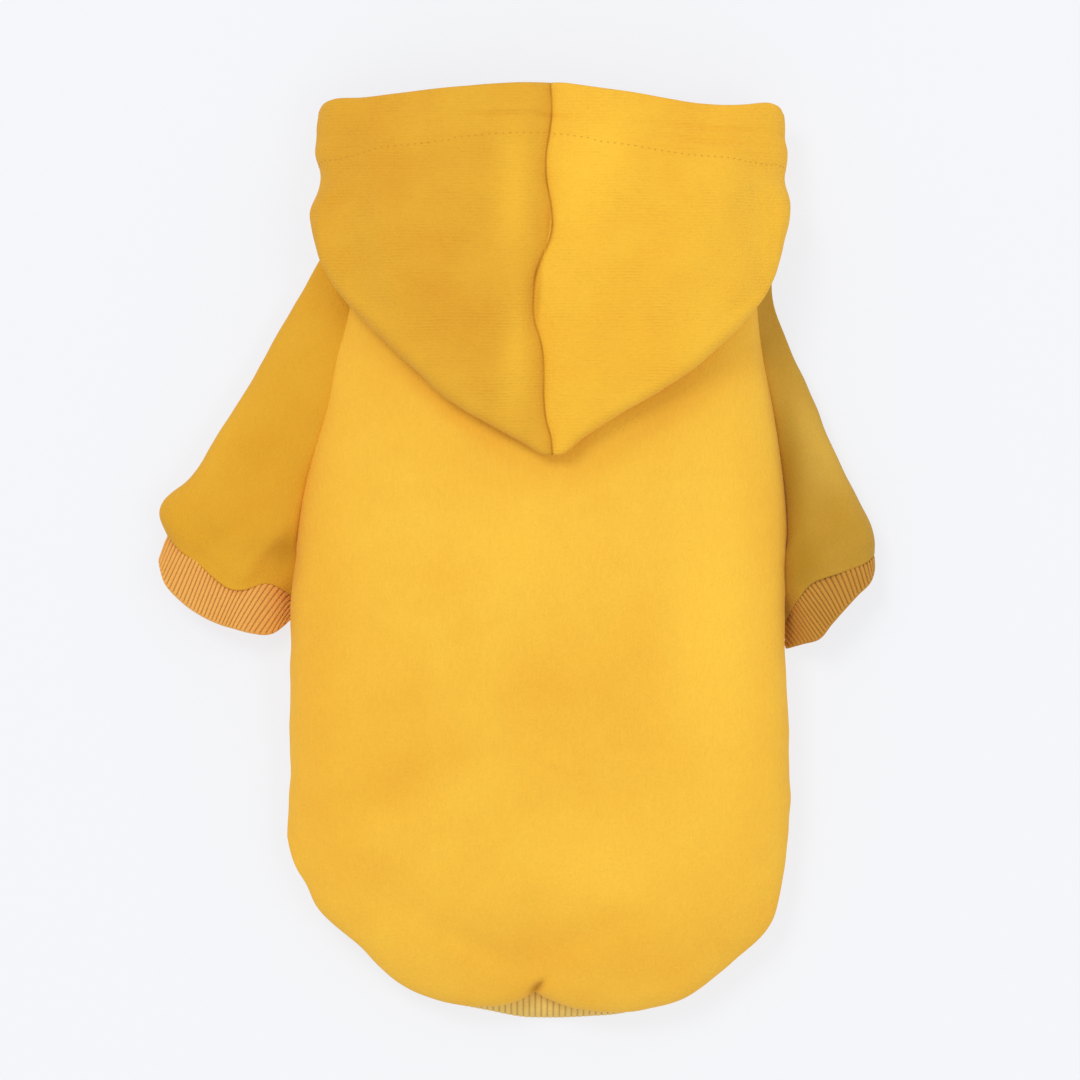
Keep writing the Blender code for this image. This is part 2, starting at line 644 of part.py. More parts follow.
def tube_mesh(outer, inner, flipped):
    """A tube with a wall: loops of its outer face, and the same loops of its inner face."""
    mesh = bmesh.new()
    shells = []
    for loops in (outer, inner[::-1]):
        for loop in loops:
            shells.append([mesh.verts.new(point) for point in loop])
    shells.append(shells[0])
    count = len(shells[0])
    for above, below in zip(shells, shells[1:]):
        for j in range(count):
            k = (j + 1) % count
            face = (above[j], below[j], below[k], above[k])
            mesh.faces.new(face[::-1] if flipped else face)
    return mesh


def sleeve_rows(side, angles):
    """Rows across the sleeve from the neck to the cuff. Each runs from the inner edge over the top to the
    outer fold, and back below."""
    table = SLEEVE_EDGE_LEFT if side < 0 else SLEEVE_EDGE_RIGHT
    knots = np.linspace(0, UNDERARM, RAGLAN_STEPS + 1)
    back = back_surface(side * np.ones_like(knots), knots / TAIL_START)
    front = belly_edge(side, knots)
    back[:, 0] += side * SEAM_GAP
    front[:, 0] += side * SEAM_GAP
    cuff = cuff_loop(side, 0.0, angles)
    cuff_fold = cuff_loop(side, 0.0, np.array([0.0, math.pi]))
    under = np.array([back[-1, 0], back[-1, 1], SLEEVE_FOLD_HEIGHT])
    neck = neck_side(side, 0.5)
    raglan_length = np.linalg.norm(back[-1, :2] - back[0, :2])
    below_length = np.linalg.norm(cuff_fold[1, :2] - under[:2])
    raglan_share = raglan_length / (raglan_length + below_length)
    ahead = (cuff_fold[0, :2] - neck[:2]) / np.linalg.norm(cuff_fold[0, :2] - neck[:2])
    outward = np.array([-ahead[1], ahead[0]]) * side
    round_share = (1 - np.cos(angles)) / 2
    even_share = (round_share + np.abs(angles) / np.abs(angles[0])) / 2
    top = np.sin(angles) > -1e-9
    rows = []
    stations = [(i, k / UNDERARM * raglan_share) for i, k in enumerate(knots)]
    stations += [(None, raglan_share + (1 - raglan_share) * f) for f in BELOW_UNDERARM[1:]]
    for i, down in stations:
        if i is None:
            closed = (down - raglan_share) / (1 - raglan_share)
            inner = under + (cuff_fold[1] - under) * closed
            high = back[-1, 2] + (SLEEVE_FOLD_HEIGHT - back[-1, 2]) * closed
            low = SLEEVE_FOLD_HEIGHT * closed
        else:
            closed = 0.0
            inner = back[i]
            high = back[i, 2]
            low = 0.0
        outer = neck + (cuff_fold[0] - neck) * down
        outer[:2] += outward * read(table, "out", down) * CUFF_WIDTH
        fold = neck[2] + (SLEEVE_FOLD_HEIGHT - neck[2]) * smoothstep(down, 0, 0.4)
        width = np.linalg.norm(inner[:2] - outer[:2])
        crown = min(SLEEVE_HEIGHT, fold + SLEEVE_SWELL * width / 2) - fold
        crown += (CUFF_HEIGHT - SLEEVE_FOLD_HEIGHT - crown) * closed**2
        share = even_share + (round_share - even_share) * closed**2
        rise = 2 * np.sqrt(np.clip(share * (1 - share), 0, 1))
        rise = rise ** np.where(share > 0.5, 2 - closed, 1)
        row = np.zeros((len(angles), 3))
        row[:, :2] = outer[:2] + (inner[:2] - outer[:2]) * share[:, None]
        upper = fold + crown * rise + (high - fold) * share**2
        lower = np.maximum(fold - fold * rise + (low - fold) * share**2, 0.0)
        row[:, 2] = np.where(top, upper, lower)
        if i is not None:
            edge = share**6
            inner_x = np.where(top, back[i, 0], front[i, 0])
            row[:, 0] += (inner_x - inner[0]) * edge
        chord = cuff_fold[0] + (cuff_fold[1] - cuff_fold[0]) * share[:, None]
        row[:, :2] += (cuff - chord)[:, :2] * smoothstep(down, 0.3, 1.0)
        row[:, 2] += (cuff[:, 2] - row[:, 2]) * closed**2
        rows.append(row)
    rows[0] = np.array([neck_side(side, f) for f in np.linspace(0, 1, len(angles))])
    rows[0][:, 1] -= SEAM_GAP
    rows[0][:, 0] += side * SEAM_GAP
    return rows


def make_sleeve(name, side, colour, parent):
    """A sleeve: open along the raglan seams, closed to a tube from the underarm to the cuff."""
    half = math.pi * (1 - 1 / SLEEVE_COLUMNS)
    angles = half * np.linspace(1, -1, SLEEVE_COLUMNS + 1)
    rows = sleeve_rows(side, angles)
    grid = np.array(rows)
    mesh, verts = grid_mesh(grid if side > 0 else grid[:, ::-1])
    inner = []
    for row, points in zip(verts[RAGLAN_STEPS:], rows[RAGLAN_STEPS:]):
        middle = (points[0] + points[-1]) / 2
        gap = np.linalg.norm(points[0] - points[-1])
        across = points[0, :2] - points[SLEEVE_COLUMNS // 2, :2]
        round_out = UNDERARM_ROUNDNESS * gap * smoothstep(len(inner), 0, len(BELOW_UNDERARM) - 1)
        middle[:2] += across / np.linalg.norm(across) * round_out
        inner.append(mesh.verts.new(middle))
    for i in range(len(inner) - 1):
        above, below = verts[RAGLAN_STEPS + i], verts[RAGLAN_STEPS + i + 1]
        mesh.faces.new((above[-1], below[-1], inner[i + 1], inner[i]))
        mesh.faces.new((inner[i], inner[i + 1], below[0], above[0]))
    return cloth(name, mesh, FLEECE, colour, parent, [*verts[-1], inner[-1]], SLEEVE_END_WALL)


def make_cuff(name, side, colour, parent):
    """A rib-knit cuff: a tube whose outer face runs in and out round it."""
    columns = CUFF_RIBS * 2
    angles = even_angles(side, columns)
    groove = np.arange(columns) % 2
    in_along, in_up = inward_of_tube(angles, CUFF_WIDTH / 2, SLEEVE_FOLD_HEIGHT)
    away, ahead = cuff_axes(side)
    outer = []
    inner = []
    for out in CUFF_ROWS:
        loop = cuff_loop(side, out, angles)
        loop[:, :2] += away * CUFF_GAP
        for rows, depth in ((outer, groove * CUFF_RIB_DEPTH), (inner, RIB_CLOTH + 0 * groove)):
            row = loop.copy()
            row[:, :2] += (depth * in_along)[:, None] * ahead
            row[:, 2] += depth * in_up
            rows.append(row)
    mesh = tube_mesh(outer, inner, side > 0)
    return cloth(name, mesh, 0.0, colour, parent)


def neckline(side, around):
    """A point of the neckline, round from the middle of the back to the throat."""
    if around <= NECK_BACK_SHARE:
        return back_surface(side * around / NECK_BACK_SHARE, 0.0)
    if around <= NECK_SIDE_SHARE:
        return neck_side(side, (around - NECK_BACK_SHARE) / (NECK_SIDE_SHARE - NECK_BACK_SHARE))
    f = (around - NECK_SIDE_SHARE) / (1 - NECK_SIDE_SHARE)
    point = belly_edge(side, 0.0)
    point[0] *= 1 - f
    point[1] -= THROAT_DROP * (1 - (1 - f) ** 2)
    return point


def hood_place(across, along, side):
    """A place of the laid-back hood seen from above."""
    x = HOOD_OFFSET + side * across * HOOD_HALF_WIDTH
    y = HOOD_RIM_FROM_NECK - (1 - along) * HOOD_LENGTH
    return np.array([x, y])


def above_back(x):
    """Clearance of the hood's lower layer over the back, wider over the shoulders, where the back curves
    down."""
    return HOOD_ABOVE_BACK * (1 + 1.2 * min(abs(x) / HALF_WIDTH, 1) ** 2)


def through(points, places, at):
    """A smooth curve through points that stand at the given places."""
    points = np.array(points)
    slopes = np.gradient(points, places, axis=0)
    i = min(int(np.searchsorted(places, at, side="right")) - 1, len(places) - 2)
    step = places[i + 1] - places[i]
    f = (at - places[i]) / step
    return (
        (2 * f**3 - 3 * f**2 + 1) * points[i]
        + (f**3 - 2 * f**2 + f) * step * slopes[i]
        + (3 * f**2 - 2 * f**3) * points[i + 1]
        + (f**3 - f**2) * step * slopes[i + 1]
    )


def folded_path(side, around, start, fold, outward, rim, height, half, puff):
    """The hood where it lies on the back: down over the back, round the fold and up to the rim."""
    middle = fold[:2] - outward * half
    if around <= NECK_BACK_SHARE:
        height = max(height, support_height(*middle) + above_back(middle[0]) + half)
    points = [start]
    for f in HOOD_LOWER:
        x, y = start[:2] + (middle - start[:2]) * f
        points.append(np.array([x, y, support_height(x, y) + above_back(x)]))
    for angle in np.radians(HOOD_ROLL):
        x, y = middle + outward * half * math.cos(angle)
        points.append(np.array([x, y, height + half * math.sin(angle)]))
    top = points[-1]
    hem = HEM_DEPTH / np.linalg.norm(rim[:2] - top[:2])
    for f in [f * (1 - hem) for f in HOOD_UPPER] + [1 - hem * f for f in HOOD_HEM]:
        point = top + (rim - top) * f
        point[2] += puff * math.sin(math.pi * f)
        points.append(point)
    return np.array(points)


def open_path(start, fold, rim, level, bulge):
    """The hood where it stands open at the sides and the throat: out from the neck, level at first or not,
    and on to the rim."""
    first = np.linalg.norm(fold - start)
    second = np.linalg.norm(rim - fold)
    hem = HEM_DEPTH / (first + second)
    bend = min(first / (first + second), (1 - hem) * HIGHEST_BEND)
    fold_row = 1 + len(HOOD_LOWER) + len(HOOD_ROLL) // 2
    between = len(HOOD_ROLL) // 2 + len(HOOD_UPPER)
    places = list(np.linspace(0, bend, fold_row + 1))
    places += list(np.linspace(bend, 1 - hem, between + 2)[1:-1])
    places += [1 - hem * f for f in HOOD_HEM]
    points = []
    for place in places:
        point = through((start, fold, rim), (0.0, bend, 1.0), place)
        if place < bend:
            eased = start[2] + (fold[2] - start[2]) * float(smoothstep(place, 0, bend))
            point[2] += (eased - point[2]) * level
            point[1] += bulge * math.sin(math.pi * place / bend)
        points.append(point)
    return np.array(points)


def hood_path(side, around):
    """Points of the hood from the neckline to its rim, at one station round it."""
    table = HOOD_LEFT if side < 0 else HOOD_RIGHT

    def get(column, at=around):
        return float(read(table, column, at))

    near_corner = smoothstep(around, NECK_BACK_SHARE - 0.04, NECK_BACK_SHARE)
    near_corner = near_corner * (1 - smoothstep(around, NECK_SIDE_SHARE + 0.02, NECK_SIDE_SHARE + 0.1))
    start = neckline(side, around)
    start[1] += SEAM_GAP + NECK_CORNER_GAP * float(near_corner)
    height = get("fold_height") * HOOD_HEIGHT
    fold = np.array([*hood_place(get("fold_across"), get("fold_along"), side), height])
    rim = np.array([*hood_place(get("rim_across"), get("rim_along"), side), get("rim_height") * HOOD_HEIGHT])
    step = 0.01
    ahead = hood_place(get("fold_across", around + step), get("fold_along", around + step), side)
    behind = hood_place(get("fold_across", around - step), get("fold_along", around - step), side)
    tangent = (ahead - behind) / np.linalg.norm(ahead - behind)
    outward = np.array([tangent[1], -tangent[0]]) * side
    if around == 0:
        outward = np.array([0.0, -1.0])
    opened = float(smoothstep(around, NECK_BACK_SHARE - 0.08, NECK_BACK_SHARE + 0.04))
    level = float(smoothstep(around, NECK_SIDE_SHARE - 0.05, NECK_SIDE_SHARE))
    bulge = SHOULDER_BULGE * float(near_corner)
    points = open_path(start, fold, rim, level, bulge) * opened
    if opened < 1:
        half, puff = get("half") * HOOD_HEIGHT, get("puff") * HOOD_HEIGHT
        points += folded_path(side, around, start, fold, outward, rim, height, half, puff) * (1 - opened)

    points[:, 2] = np.maximum(points[:, 2], 0.0)
    first_upper = 1 + len(HOOD_LOWER) + len(HOOD_ROLL) // 2
    near_edge = float(smoothstep(around, 0.36, 0.46) * (1 - smoothstep(around, 0.54, 0.62)))
    for i in range(first_upper, len(points)):
        x, y, z = points[i]
        along = 1 - (HOOD_RIM_FROM_NECK - y) / HOOD_LENGTH
        if around < NECK_SIDE_SHARE:
            settled = float(smoothstep(i, first_upper, first_upper + 4))
            z -= SEAM_GROOVE_DEPTH * math.exp(-(((x - HOOD_OFFSET) / SEAM_GROOVE_WIDTH) ** 2)) * settled
            shift = float(read(SEAM_WANDER, "shift", along))
            x += HOOD_HALF_WIDTH * shift * math.exp(-abs(x - HOOD_OFFSET) / SEAM_WANDER_REACH)
        for dent in SIDE_DENTS:
            if dent.side == side:
                nearness = near_edge * math.exp(-(((along - dent.along) / dent.span) ** 2))
                x -= side * dent.depth * HOOD_HALF_WIDTH * nearness
        points[i] = (x, y, max(z, 0.0))
    return points


def make_hood(name, side, colour, parent):
    back = [NECK_BACK_SHARE * across for across in HALF_ACROSS]
    throat = [NECK_SIDE_SHARE + (1 - NECK_SIDE_SHARE) * (1 - across) for across in THROAT_ACROSS]
    grid = np.array([hood_path(side, around) for around in (*back, *HOOD_SIDE_SHARES, *throat)])
    grid[0, :, 0] += side * NARROW_GAP
    grid[-1, :, 0] += side * NARROW_GAP
    grid = grid.transpose(1, 0, 2)
    if side > 0:
        grid = grid[:, ::-1]
    mesh, verts = grid_mesh(grid)
    hem = [vert for row in verts[-len(HOOD_HEM):] for vert in row]
    return cloth(name, mesh, FLEECE, colour, parent, hem, HEM_CLOTH)


def stand_on_origin(parent):
    """Moves the hoodie so that the middle of its box's bottom is the origin."""
    seen = bpy.context.evaluated_depsgraph_get()
    corners = []
    for panel in parent.children:
        corners += [corner[:] for corner in panel.evaluated_get(seen).bound_box]
    corners = np.array(corners)
    low, high = corners.min(axis=0), corners.max(axis=0)
    parent.location = (-(low[0] + high[0]) / 2, -(low[1] + high[1]) / 2, -low[2])


def build():
    for old in list(bpy.data.objects):
        bpy.data.objects.remove(old)
    hoodie = bpy.data.objects.new("hoodie", None)
    bpy.context.scene.collection.objects.link(hoodie)
    cloths = {name: knit(name, colour) for name, colour in COLOURS.items()}
    make_back_panel(cloths["back_fleece"], hoodie)
    make_belly_panel(cloths["belly_fleece"], hoodie)
    make_waistband_back(cloths["waistband_rib"], hoodie)
    make_waistband_belly(cloths["waistband_rib"], hoodie)
    make_sleeve("sleeve_left", -1, cloths["sleeve_fleece"], hoodie)
    make_sleeve("sleeve_right", 1, cloths["sleeve_fleece"], hoodie)
    make_cuff("cuff_left", -1, cloths["cuff_rib"], hoodie)
    make_cuff("cuff_right", 1, cloths["cuff_rib"], hoodie)
    make_hood("hood_left", -1, cloths["hood_fleece"], hoodie)
    make_hood("hood_right", 1, cloths["hood_fleece"], hoodie)
    stand_on_origin(hoodie)


build()
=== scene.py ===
"""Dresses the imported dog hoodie: fleece panels with soft folds, rib-knit cuffs and waistband, stitched
hood hem, and a plain pale stage lit like a studio.

The panels follow the same driving sizes and tables as the part, in its own frame: the head end along
+Y, the neckline at y = 0 and the body's middle at x = 0. They are then moved to the frame's place.
"""

import math
from collections import namedtuple

import bmesh
import bpy
import numpy as np
from mathutils import Matrix, Vector
from mathutils.bvhtree import BVHTree
from mathutils.kdtree import KDTree


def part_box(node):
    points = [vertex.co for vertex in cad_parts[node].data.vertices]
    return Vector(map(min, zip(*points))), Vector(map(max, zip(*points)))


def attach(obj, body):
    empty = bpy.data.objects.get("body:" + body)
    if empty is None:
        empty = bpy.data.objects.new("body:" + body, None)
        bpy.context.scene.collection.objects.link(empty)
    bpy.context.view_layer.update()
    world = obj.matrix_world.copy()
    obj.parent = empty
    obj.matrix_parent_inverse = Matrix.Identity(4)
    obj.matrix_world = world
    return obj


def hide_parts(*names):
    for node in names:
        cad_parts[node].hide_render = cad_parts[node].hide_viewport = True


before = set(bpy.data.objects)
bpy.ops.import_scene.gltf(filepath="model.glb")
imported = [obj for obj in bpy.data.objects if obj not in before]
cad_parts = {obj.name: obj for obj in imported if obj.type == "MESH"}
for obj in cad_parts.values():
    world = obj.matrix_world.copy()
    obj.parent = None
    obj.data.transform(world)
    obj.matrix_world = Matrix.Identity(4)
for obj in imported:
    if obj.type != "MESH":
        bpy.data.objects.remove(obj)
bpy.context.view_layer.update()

bl_info = {
    "name": "Dog hoodie",
    "version": (1, 0, 0),
    "blender": (4, 5, 0),
    "location": "3D View > Sidebar > Hoodie",
    "description": "Builds a fleece dog hoodie with rib-knit cuffs and waistband, and its studio stage",
    "category": "Add Mesh",
}


def table_of(kind, *rows):
    """A table whose rows are all of one kind."""
    return tuple(kind(*row) for row in rows)


# Body: a short tube, widest at the waist, with a round tail end. The tail's start and the underarm are
# shares of its length from the neckline. Other sizes here and below are in metres.
BODY_LENGTH = 0.295
BODY_WIDTH = 0.191
BODY_HEIGHT = 0.042
TAIL_START = 0.765
UNDERARM = 0.385
NECK_RISE = 0.004
THROAT_DROP = 0.012
SIDE_TURN_UNDER = 0.012
UNDERARM_TURN_UNDER = 0.0006
TURN_LENGTH = 0.045
TAIL_TURN_UNDER = 0.006
TAIL_EDGE_HEIGHT = 0.0145
TAIL_SEAM_HEIGHT = 0.0090
CORNER_SEAM_HEIGHT = 0.0036
TAIL_SEAM_POWER = 3

# The body's rows run from 0 at the neckline to 1 at the tail's outline. These are the rows at which the
# neckline's rise ends, the tail begins to bend, its edge begins to level out, and its cap begins.
NECK_RISE_END = 0.3
TAIL_BEND_START = 0.5
TAIL_EDGE_START = 0.8
TAIL_CAP_START = 0.70
BACK_ROUNDNESS = 2.5
RIGHT_SOFTNESS = 0.5

# Pinch in the middle of the tail hem, where the gathered cloth shows the rib below it. Its place and
# width are shares of the half width. Its crease grows from one row to another, where it is deepest, and it
# holds back most of the hem's turn under. The cage's columns stand close at the pinch, in shares of its
# width from its middle, and the others keep clear of it.
PINCH_ACROSS = -0.02
PINCH_WIDTH = 0.09
PINCH_DEPTH = 0.0078
PINCH_CREASE = 0.0015
PINCH_CREASE_START = 0.88
PINCH_CREASE_END = 0.97
PINCH_HOLDS = 0.9
PINCH_COLUMNS = (-1.0, -0.35, 0.0, 0.35, 1.0)
PINCH_CLEAR = 1.15

# Hood: a deep pouch, laid back so that its crown hangs down the back to a point.
HOOD_LENGTH = 0.142
HOOD_HALF_WIDTH = 0.091
HOOD_HEIGHT = 0.060
HOOD_OFFSET = 0.0047
HOOD_RIM_FROM_NECK = 0.0608
HOOD_ABOVE_BACK = 0.0012
HEM_DEPTH = 0.019
SEAM_GROOVE_DEPTH = 0.0028
SEAM_GROOVE_WIDTH = 0.0048
SEAM_GROOVE_ROWS = 4
SEAM_WANDER_REACH = 0.022

# How the hood leaves the neckline: how far round a point it rests on the back's highest place, how much
# wider its clearance is over the shoulders, and how it bulges there.
SUPPORT_REACH = 0.005
SHOULDER_CLEARANCE = 1.2
SHOULDER_BULGE = 0.006
HIGHEST_BEND = 0.8

# Stations round the neckline, as shares before or after its corners: where the bulge grows and fades,
# where the laid-back form gives way to the open one, where that one leaves level, and where the sides
# can dent.
CORNER_BEFORE = 0.04
CORNER_HOLD = 0.02
CORNER_AFTER = 0.10
OPEN_BEFORE = 0.08
OPEN_AFTER = 0.04
LEVEL_BEFORE = 0.05
TANGENT_STEP = 0.01
DENT_GROWS = (0.36, 0.46)
DENT_FADES = (0.54, 0.62)

# The neckline's ends stand out at the shoulders, where the sleeves reach the neck.
NECK_SIDE_REACH = 0.009
NECK_CORNER_GAP = 0.0018

# Sleeves and cuffs. Tilts are in degrees. The sleeve's outer fold is level from one share of the way down,
# and its end takes the cuff's form from another. Near the raglan seam a row keeps to the body's edge.
CUFF_WIDTH = 0.054
CUFF_TILT_LEFT = 27.5
CUFF_TILT_RIGHT = 138.0
CUFF_HEIGHT = 0.0185
SLEEVE_FOLD_HEIGHT = 0.0085
SLEEVE_HEIGHT = 0.0215
SLEEVE_SWELL = 0.55
SLEEVE_FOLD_LEVEL = 0.4
SLEEVE_END_START = 0.3
RAGLAN_EDGE_POWER = 6
UNDERARM_ROUNDNESS = 0.12
CUFF_RIBS = 72

# The sleeves' inner sides reach under the body's side, which presses the cuffs' inner folds flat.
UNDER_BODY_REACH = 0.0032
INNER_PRESS = 0.42
INNER_PRESS_START = 0.72

# Waistband.
WAISTBAND_DEPTH = 0.018
BAND_END_HEIGHT = 0.0012

# Shares of the way round the neckline at which the back ends and the side ends.
NECK_BACK_SHARE = 0.38
NECK_SIDE_SHARE = 0.50

# The shoulders' last row, and how far across a place counts as on the back.
SHOULDER_END = 0.5
JUST_INSIDE = 0.999

# Cloth: its thicknesses, how much sewn neighbours overlap, and the gap to the floor.
FLEECE = 0.0021
HEM_CLOTH = 0.0036
RIB_CLOTH = 0.0020
SLEEVE_END_WALL = 0.0012
SEAM_OVERLAP = 0.0001
FLOOR_GAP = 0.0002
TOUCHING = 1e-6
TINY = 1e-9

HALF_WIDTH = BODY_WIDTH / 2
TAIL_LENGTH = (1 - TAIL_START) * BODY_LENGTH

# Along is the share of BODY_LENGTH from the neckline. Left and right are shares of HALF_WIDTH.
# Crown and the edges are shares of BODY_HEIGHT. Softness is how gently the left edge meets the sleeve.
BodySection = namedtuple("BodySection", "along left right crown left_edge right_edge softness")
BODY = table_of(
    BodySection,
    (0.000, 0.745, 0.860, 0.880, 0.30, 0.30, 0.85),
    (0.090, 0.757, 0.865, 0.935, 0.42, 0.32, 0.85),
    (0.155, 0.812, 0.890, 0.965, 0.47, 0.33, 0.82),
    (0.205, 0.836, 0.922, 0.985, 0.48, 0.33, 0.80),
    (0.260, 0.888, 0.950, 1.000, 0.45, 0.33, 0.74),
    (0.310, 0.932, 0.971, 1.000, 0.40, 0.33, 0.66),
    (0.385, 0.969, 0.986, 1.000, 0.35, 0.34, 0.54),
    (0.450, 0.992, 0.978, 0.990, 0.34, 0.35, 0.50),
    (0.530, 0.996, 0.980, 0.980, 0.34, 0.35, 0.50),
    (0.640, 0.997, 0.993, 0.960, 0.34, 0.35, 0.50),
    (0.715, 1.000, 0.997, 0.930, 0.34, 0.35, 0.50),
    (0.765, 1.010, 0.990, 0.900, 0.34, 0.35, 0.50),
)

# Outline of the tail: across is the share of the half width, drop the share of TAIL_LENGTH.
TailPoint = namedtuple("TailPoint", "across drop")
TAIL = table_of(
    TailPoint,
    (-1.000, 0.000),
    (-0.985, 0.105),
    (-0.930, 0.250),
    (-0.875, 0.400),
    (-0.800, 0.500),
    (-0.700, 0.622),
    (-0.600, 0.765),
    (-0.500, 0.859),
    (-0.360, 0.923),
    (-0.200, 0.955),
    (0.000, 0.958),
    (0.200, 0.968),
    (0.330, 0.973),
    (0.450, 0.947),
    (0.570, 0.898),
    (0.680, 0.808),
    (0.800, 0.664),
    (0.895, 0.545),
    (0.950, 0.410),
    (0.985, 0.190),
    (1.000, 0.000),
)

# Soft hollows in the back: across as above, along in shares of BODY_LENGTH, spans in the same shares,
# depth as a share of BODY_HEIGHT.
Hollow = namedtuple("Hollow", "across along across_span along_span depth")
HOLLOWS = table_of(
    Hollow,
    (0.00, 0.90, 0.22, 0.055, 0.060),
    (-0.55, 0.70, 0.24, 0.090, 0.050),
    (-0.62, 0.86, 0.16, 0.050, 0.035),
    (0.30, 0.42, 0.30, 0.090, 0.025),
    (-0.78, 0.52, 0.10, 0.110, 0.030),
)

# Hood, from the centre seam (around 0) over the side to the throat (around 1). The fold is the edge
# of the laid-back pouch and the rim is the opening. Across is in shares of HOOD_HALF_WIDTH, along in
# shares of HOOD_LENGTH from the point to the rim, and heights are shares of HOOD_HEIGHT.
HoodStation = namedtuple(
    "HoodStation",
    "around fold_across fold_along rim_across rim_along fold_height rim_height half puff",
)
HOOD_LEFT = table_of(
    HoodStation,
    (0.00, 0.000, 0.000, 0.000, 0.993, 0.815, 0.750, 0.080, 0.090),
    (0.025, 0.050, 0.0015, 0.056, 0.993, 0.815, 0.750, 0.080, 0.090),
    (0.06, 0.120, 0.030, 0.134, 0.993, 0.810, 0.750, 0.080, 0.095),
    (0.15, 0.372, 0.123, 0.338, 0.986, 0.780, 0.725, 0.085, 0.105),
    (0.26, 0.647, 0.270, 0.589, 0.973, 0.650, 0.600, 0.100, 0.110),
    (0.35, 0.868, 0.420, 0.798, 0.957, 0.545, 0.500, 0.110, 0.090),
    (0.42, 0.968, 0.527, 0.925, 0.953, 0.470, 0.385, 0.095, 0.050),
    (0.50, 1.002, 0.640, 0.978, 0.925, 0.330, 0.235, 0.070, 0.000),
    (0.58, 0.940, 0.690, 0.925, 0.895, 0.070, 0.085, 0.030, 0.000),
    (0.72, 0.630, 0.680, 0.630, 0.872, 0.000, 0.000, 0.000, 0.000),
    (1.00, 0.000, 0.670, 0.000, 0.861, 0.000, 0.000, 0.000, 0.000),
)
HOOD_RIGHT = table_of(
    HoodStation,
    (0.00, 0.000, 0.000, 0.000, 0.993, 0.815, 0.750, 0.080, 0.090),
    (0.025, 0.050, 0.0020, 0.058, 0.991, 0.815, 0.750, 0.080, 0.090),
    (0.06, 0.120, 0.040, 0.142, 0.984, 0.810, 0.750, 0.080, 0.100),
    (0.15, 0.372, 0.138, 0.338, 0.969, 0.780, 0.725, 0.085, 0.120),
    (0.26, 0.647, 0.259, 0.589, 0.944, 0.650, 0.610, 0.100, 0.120),
    (0.35, 0.868, 0.405, 0.798, 0.938, 0.530, 0.510, 0.110, 0.095),
    (0.42, 0.950, 0.525, 0.922, 0.942, 0.440, 0.390, 0.095, 0.050),
    (0.50, 0.990, 0.655, 0.968, 0.912, 0.300, 0.235, 0.070, 0.000),
    (0.58, 0.930, 0.690, 0.915, 0.885, 0.070, 0.085, 0.030, 0.000),
    (0.72, 0.630, 0.680, 0.630, 0.872, 0.000, 0.000, 0.000, 0.000),
    (1.00, 0.000, 0.670, 0.000, 0.861, 0.000, 0.000, 0.000, 0.000),
)

# Where the centre seam wanders, as a share of HOOD_HALF_WIDTH to the right, from the point to the rim.
SeamPoint = namedtuple("SeamPoint", "along shift")
SEAM_WANDER = table_of(
    SeamPoint,
    (0.00, 0.000),
    (0.05, -0.008),
    (0.09, -0.026),
    (0.15, -0.036),
    (0.22, -0.036),
    (0.28, -0.043),
    (0.32, -0.057),
    (0.35, -0.073),
    (0.42, -0.079),
    (0.49, -0.066),
    (0.53, -0.042),
    (0.57, -0.013),
    (0.60, -0.002),
    (0.66, -0.005),
    (0.74, -0.026),
    (0.80, -0.026),
    (0.86, -0.012),
    (0.91, -0.003),
    (1.00, -0.010),
)

# Side dents of the hood, where its edge buckles in: side -1 left, 1 right.
SideDent = namedtuple("SideDent", "side along span depth")
SIDE_DENTS = table_of(
    SideDent,
    (-1, 0.750, 0.045, 0.042),
    (-1, 0.700, 0.040, 0.030),
    (-1, 0.846, 0.020, 0.010),
    (1, 0.848, 0.014, 0.012),
    (1, 0.735, 0.045, 0.033),
)

# Outer edge of a sleeve, away from the straight line between shoulder and cuff, in shares of CUFF_WIDTH.
SleeveEdge = namedtuple("SleeveEdge", "down out")
SLEEVE_EDGE_LEFT = table_of(
    SleeveEdge,
    (0.00, 0.000),
    (0.08, 0.012),
    (0.16, 0.000),
    (0.24, 0.007),
    (0.40, 0.013),
    (0.55, 0.020),
    (0.76, 0.040),
    (0.82, 0.050),
    (0.87, 0.112),
    (0.925, 0.145),
    (0.965, 0.110),
    (1.00, 0.000),
)
SLEEVE_EDGE_RIGHT = table_of(
    SleeveEdge,
    (0.00, 0.000),
    (0.15, -0.158),
    (0.30, -0.146),
    (0.46, -0.102),
    (0.60, -0.068),
    (0.72, -0.036),
    (0.83, -0.004),
    (0.88, 0.024),
    (0.925, 0.040),
    (0.965, 0.030),
    (1.00, 0.000),
)

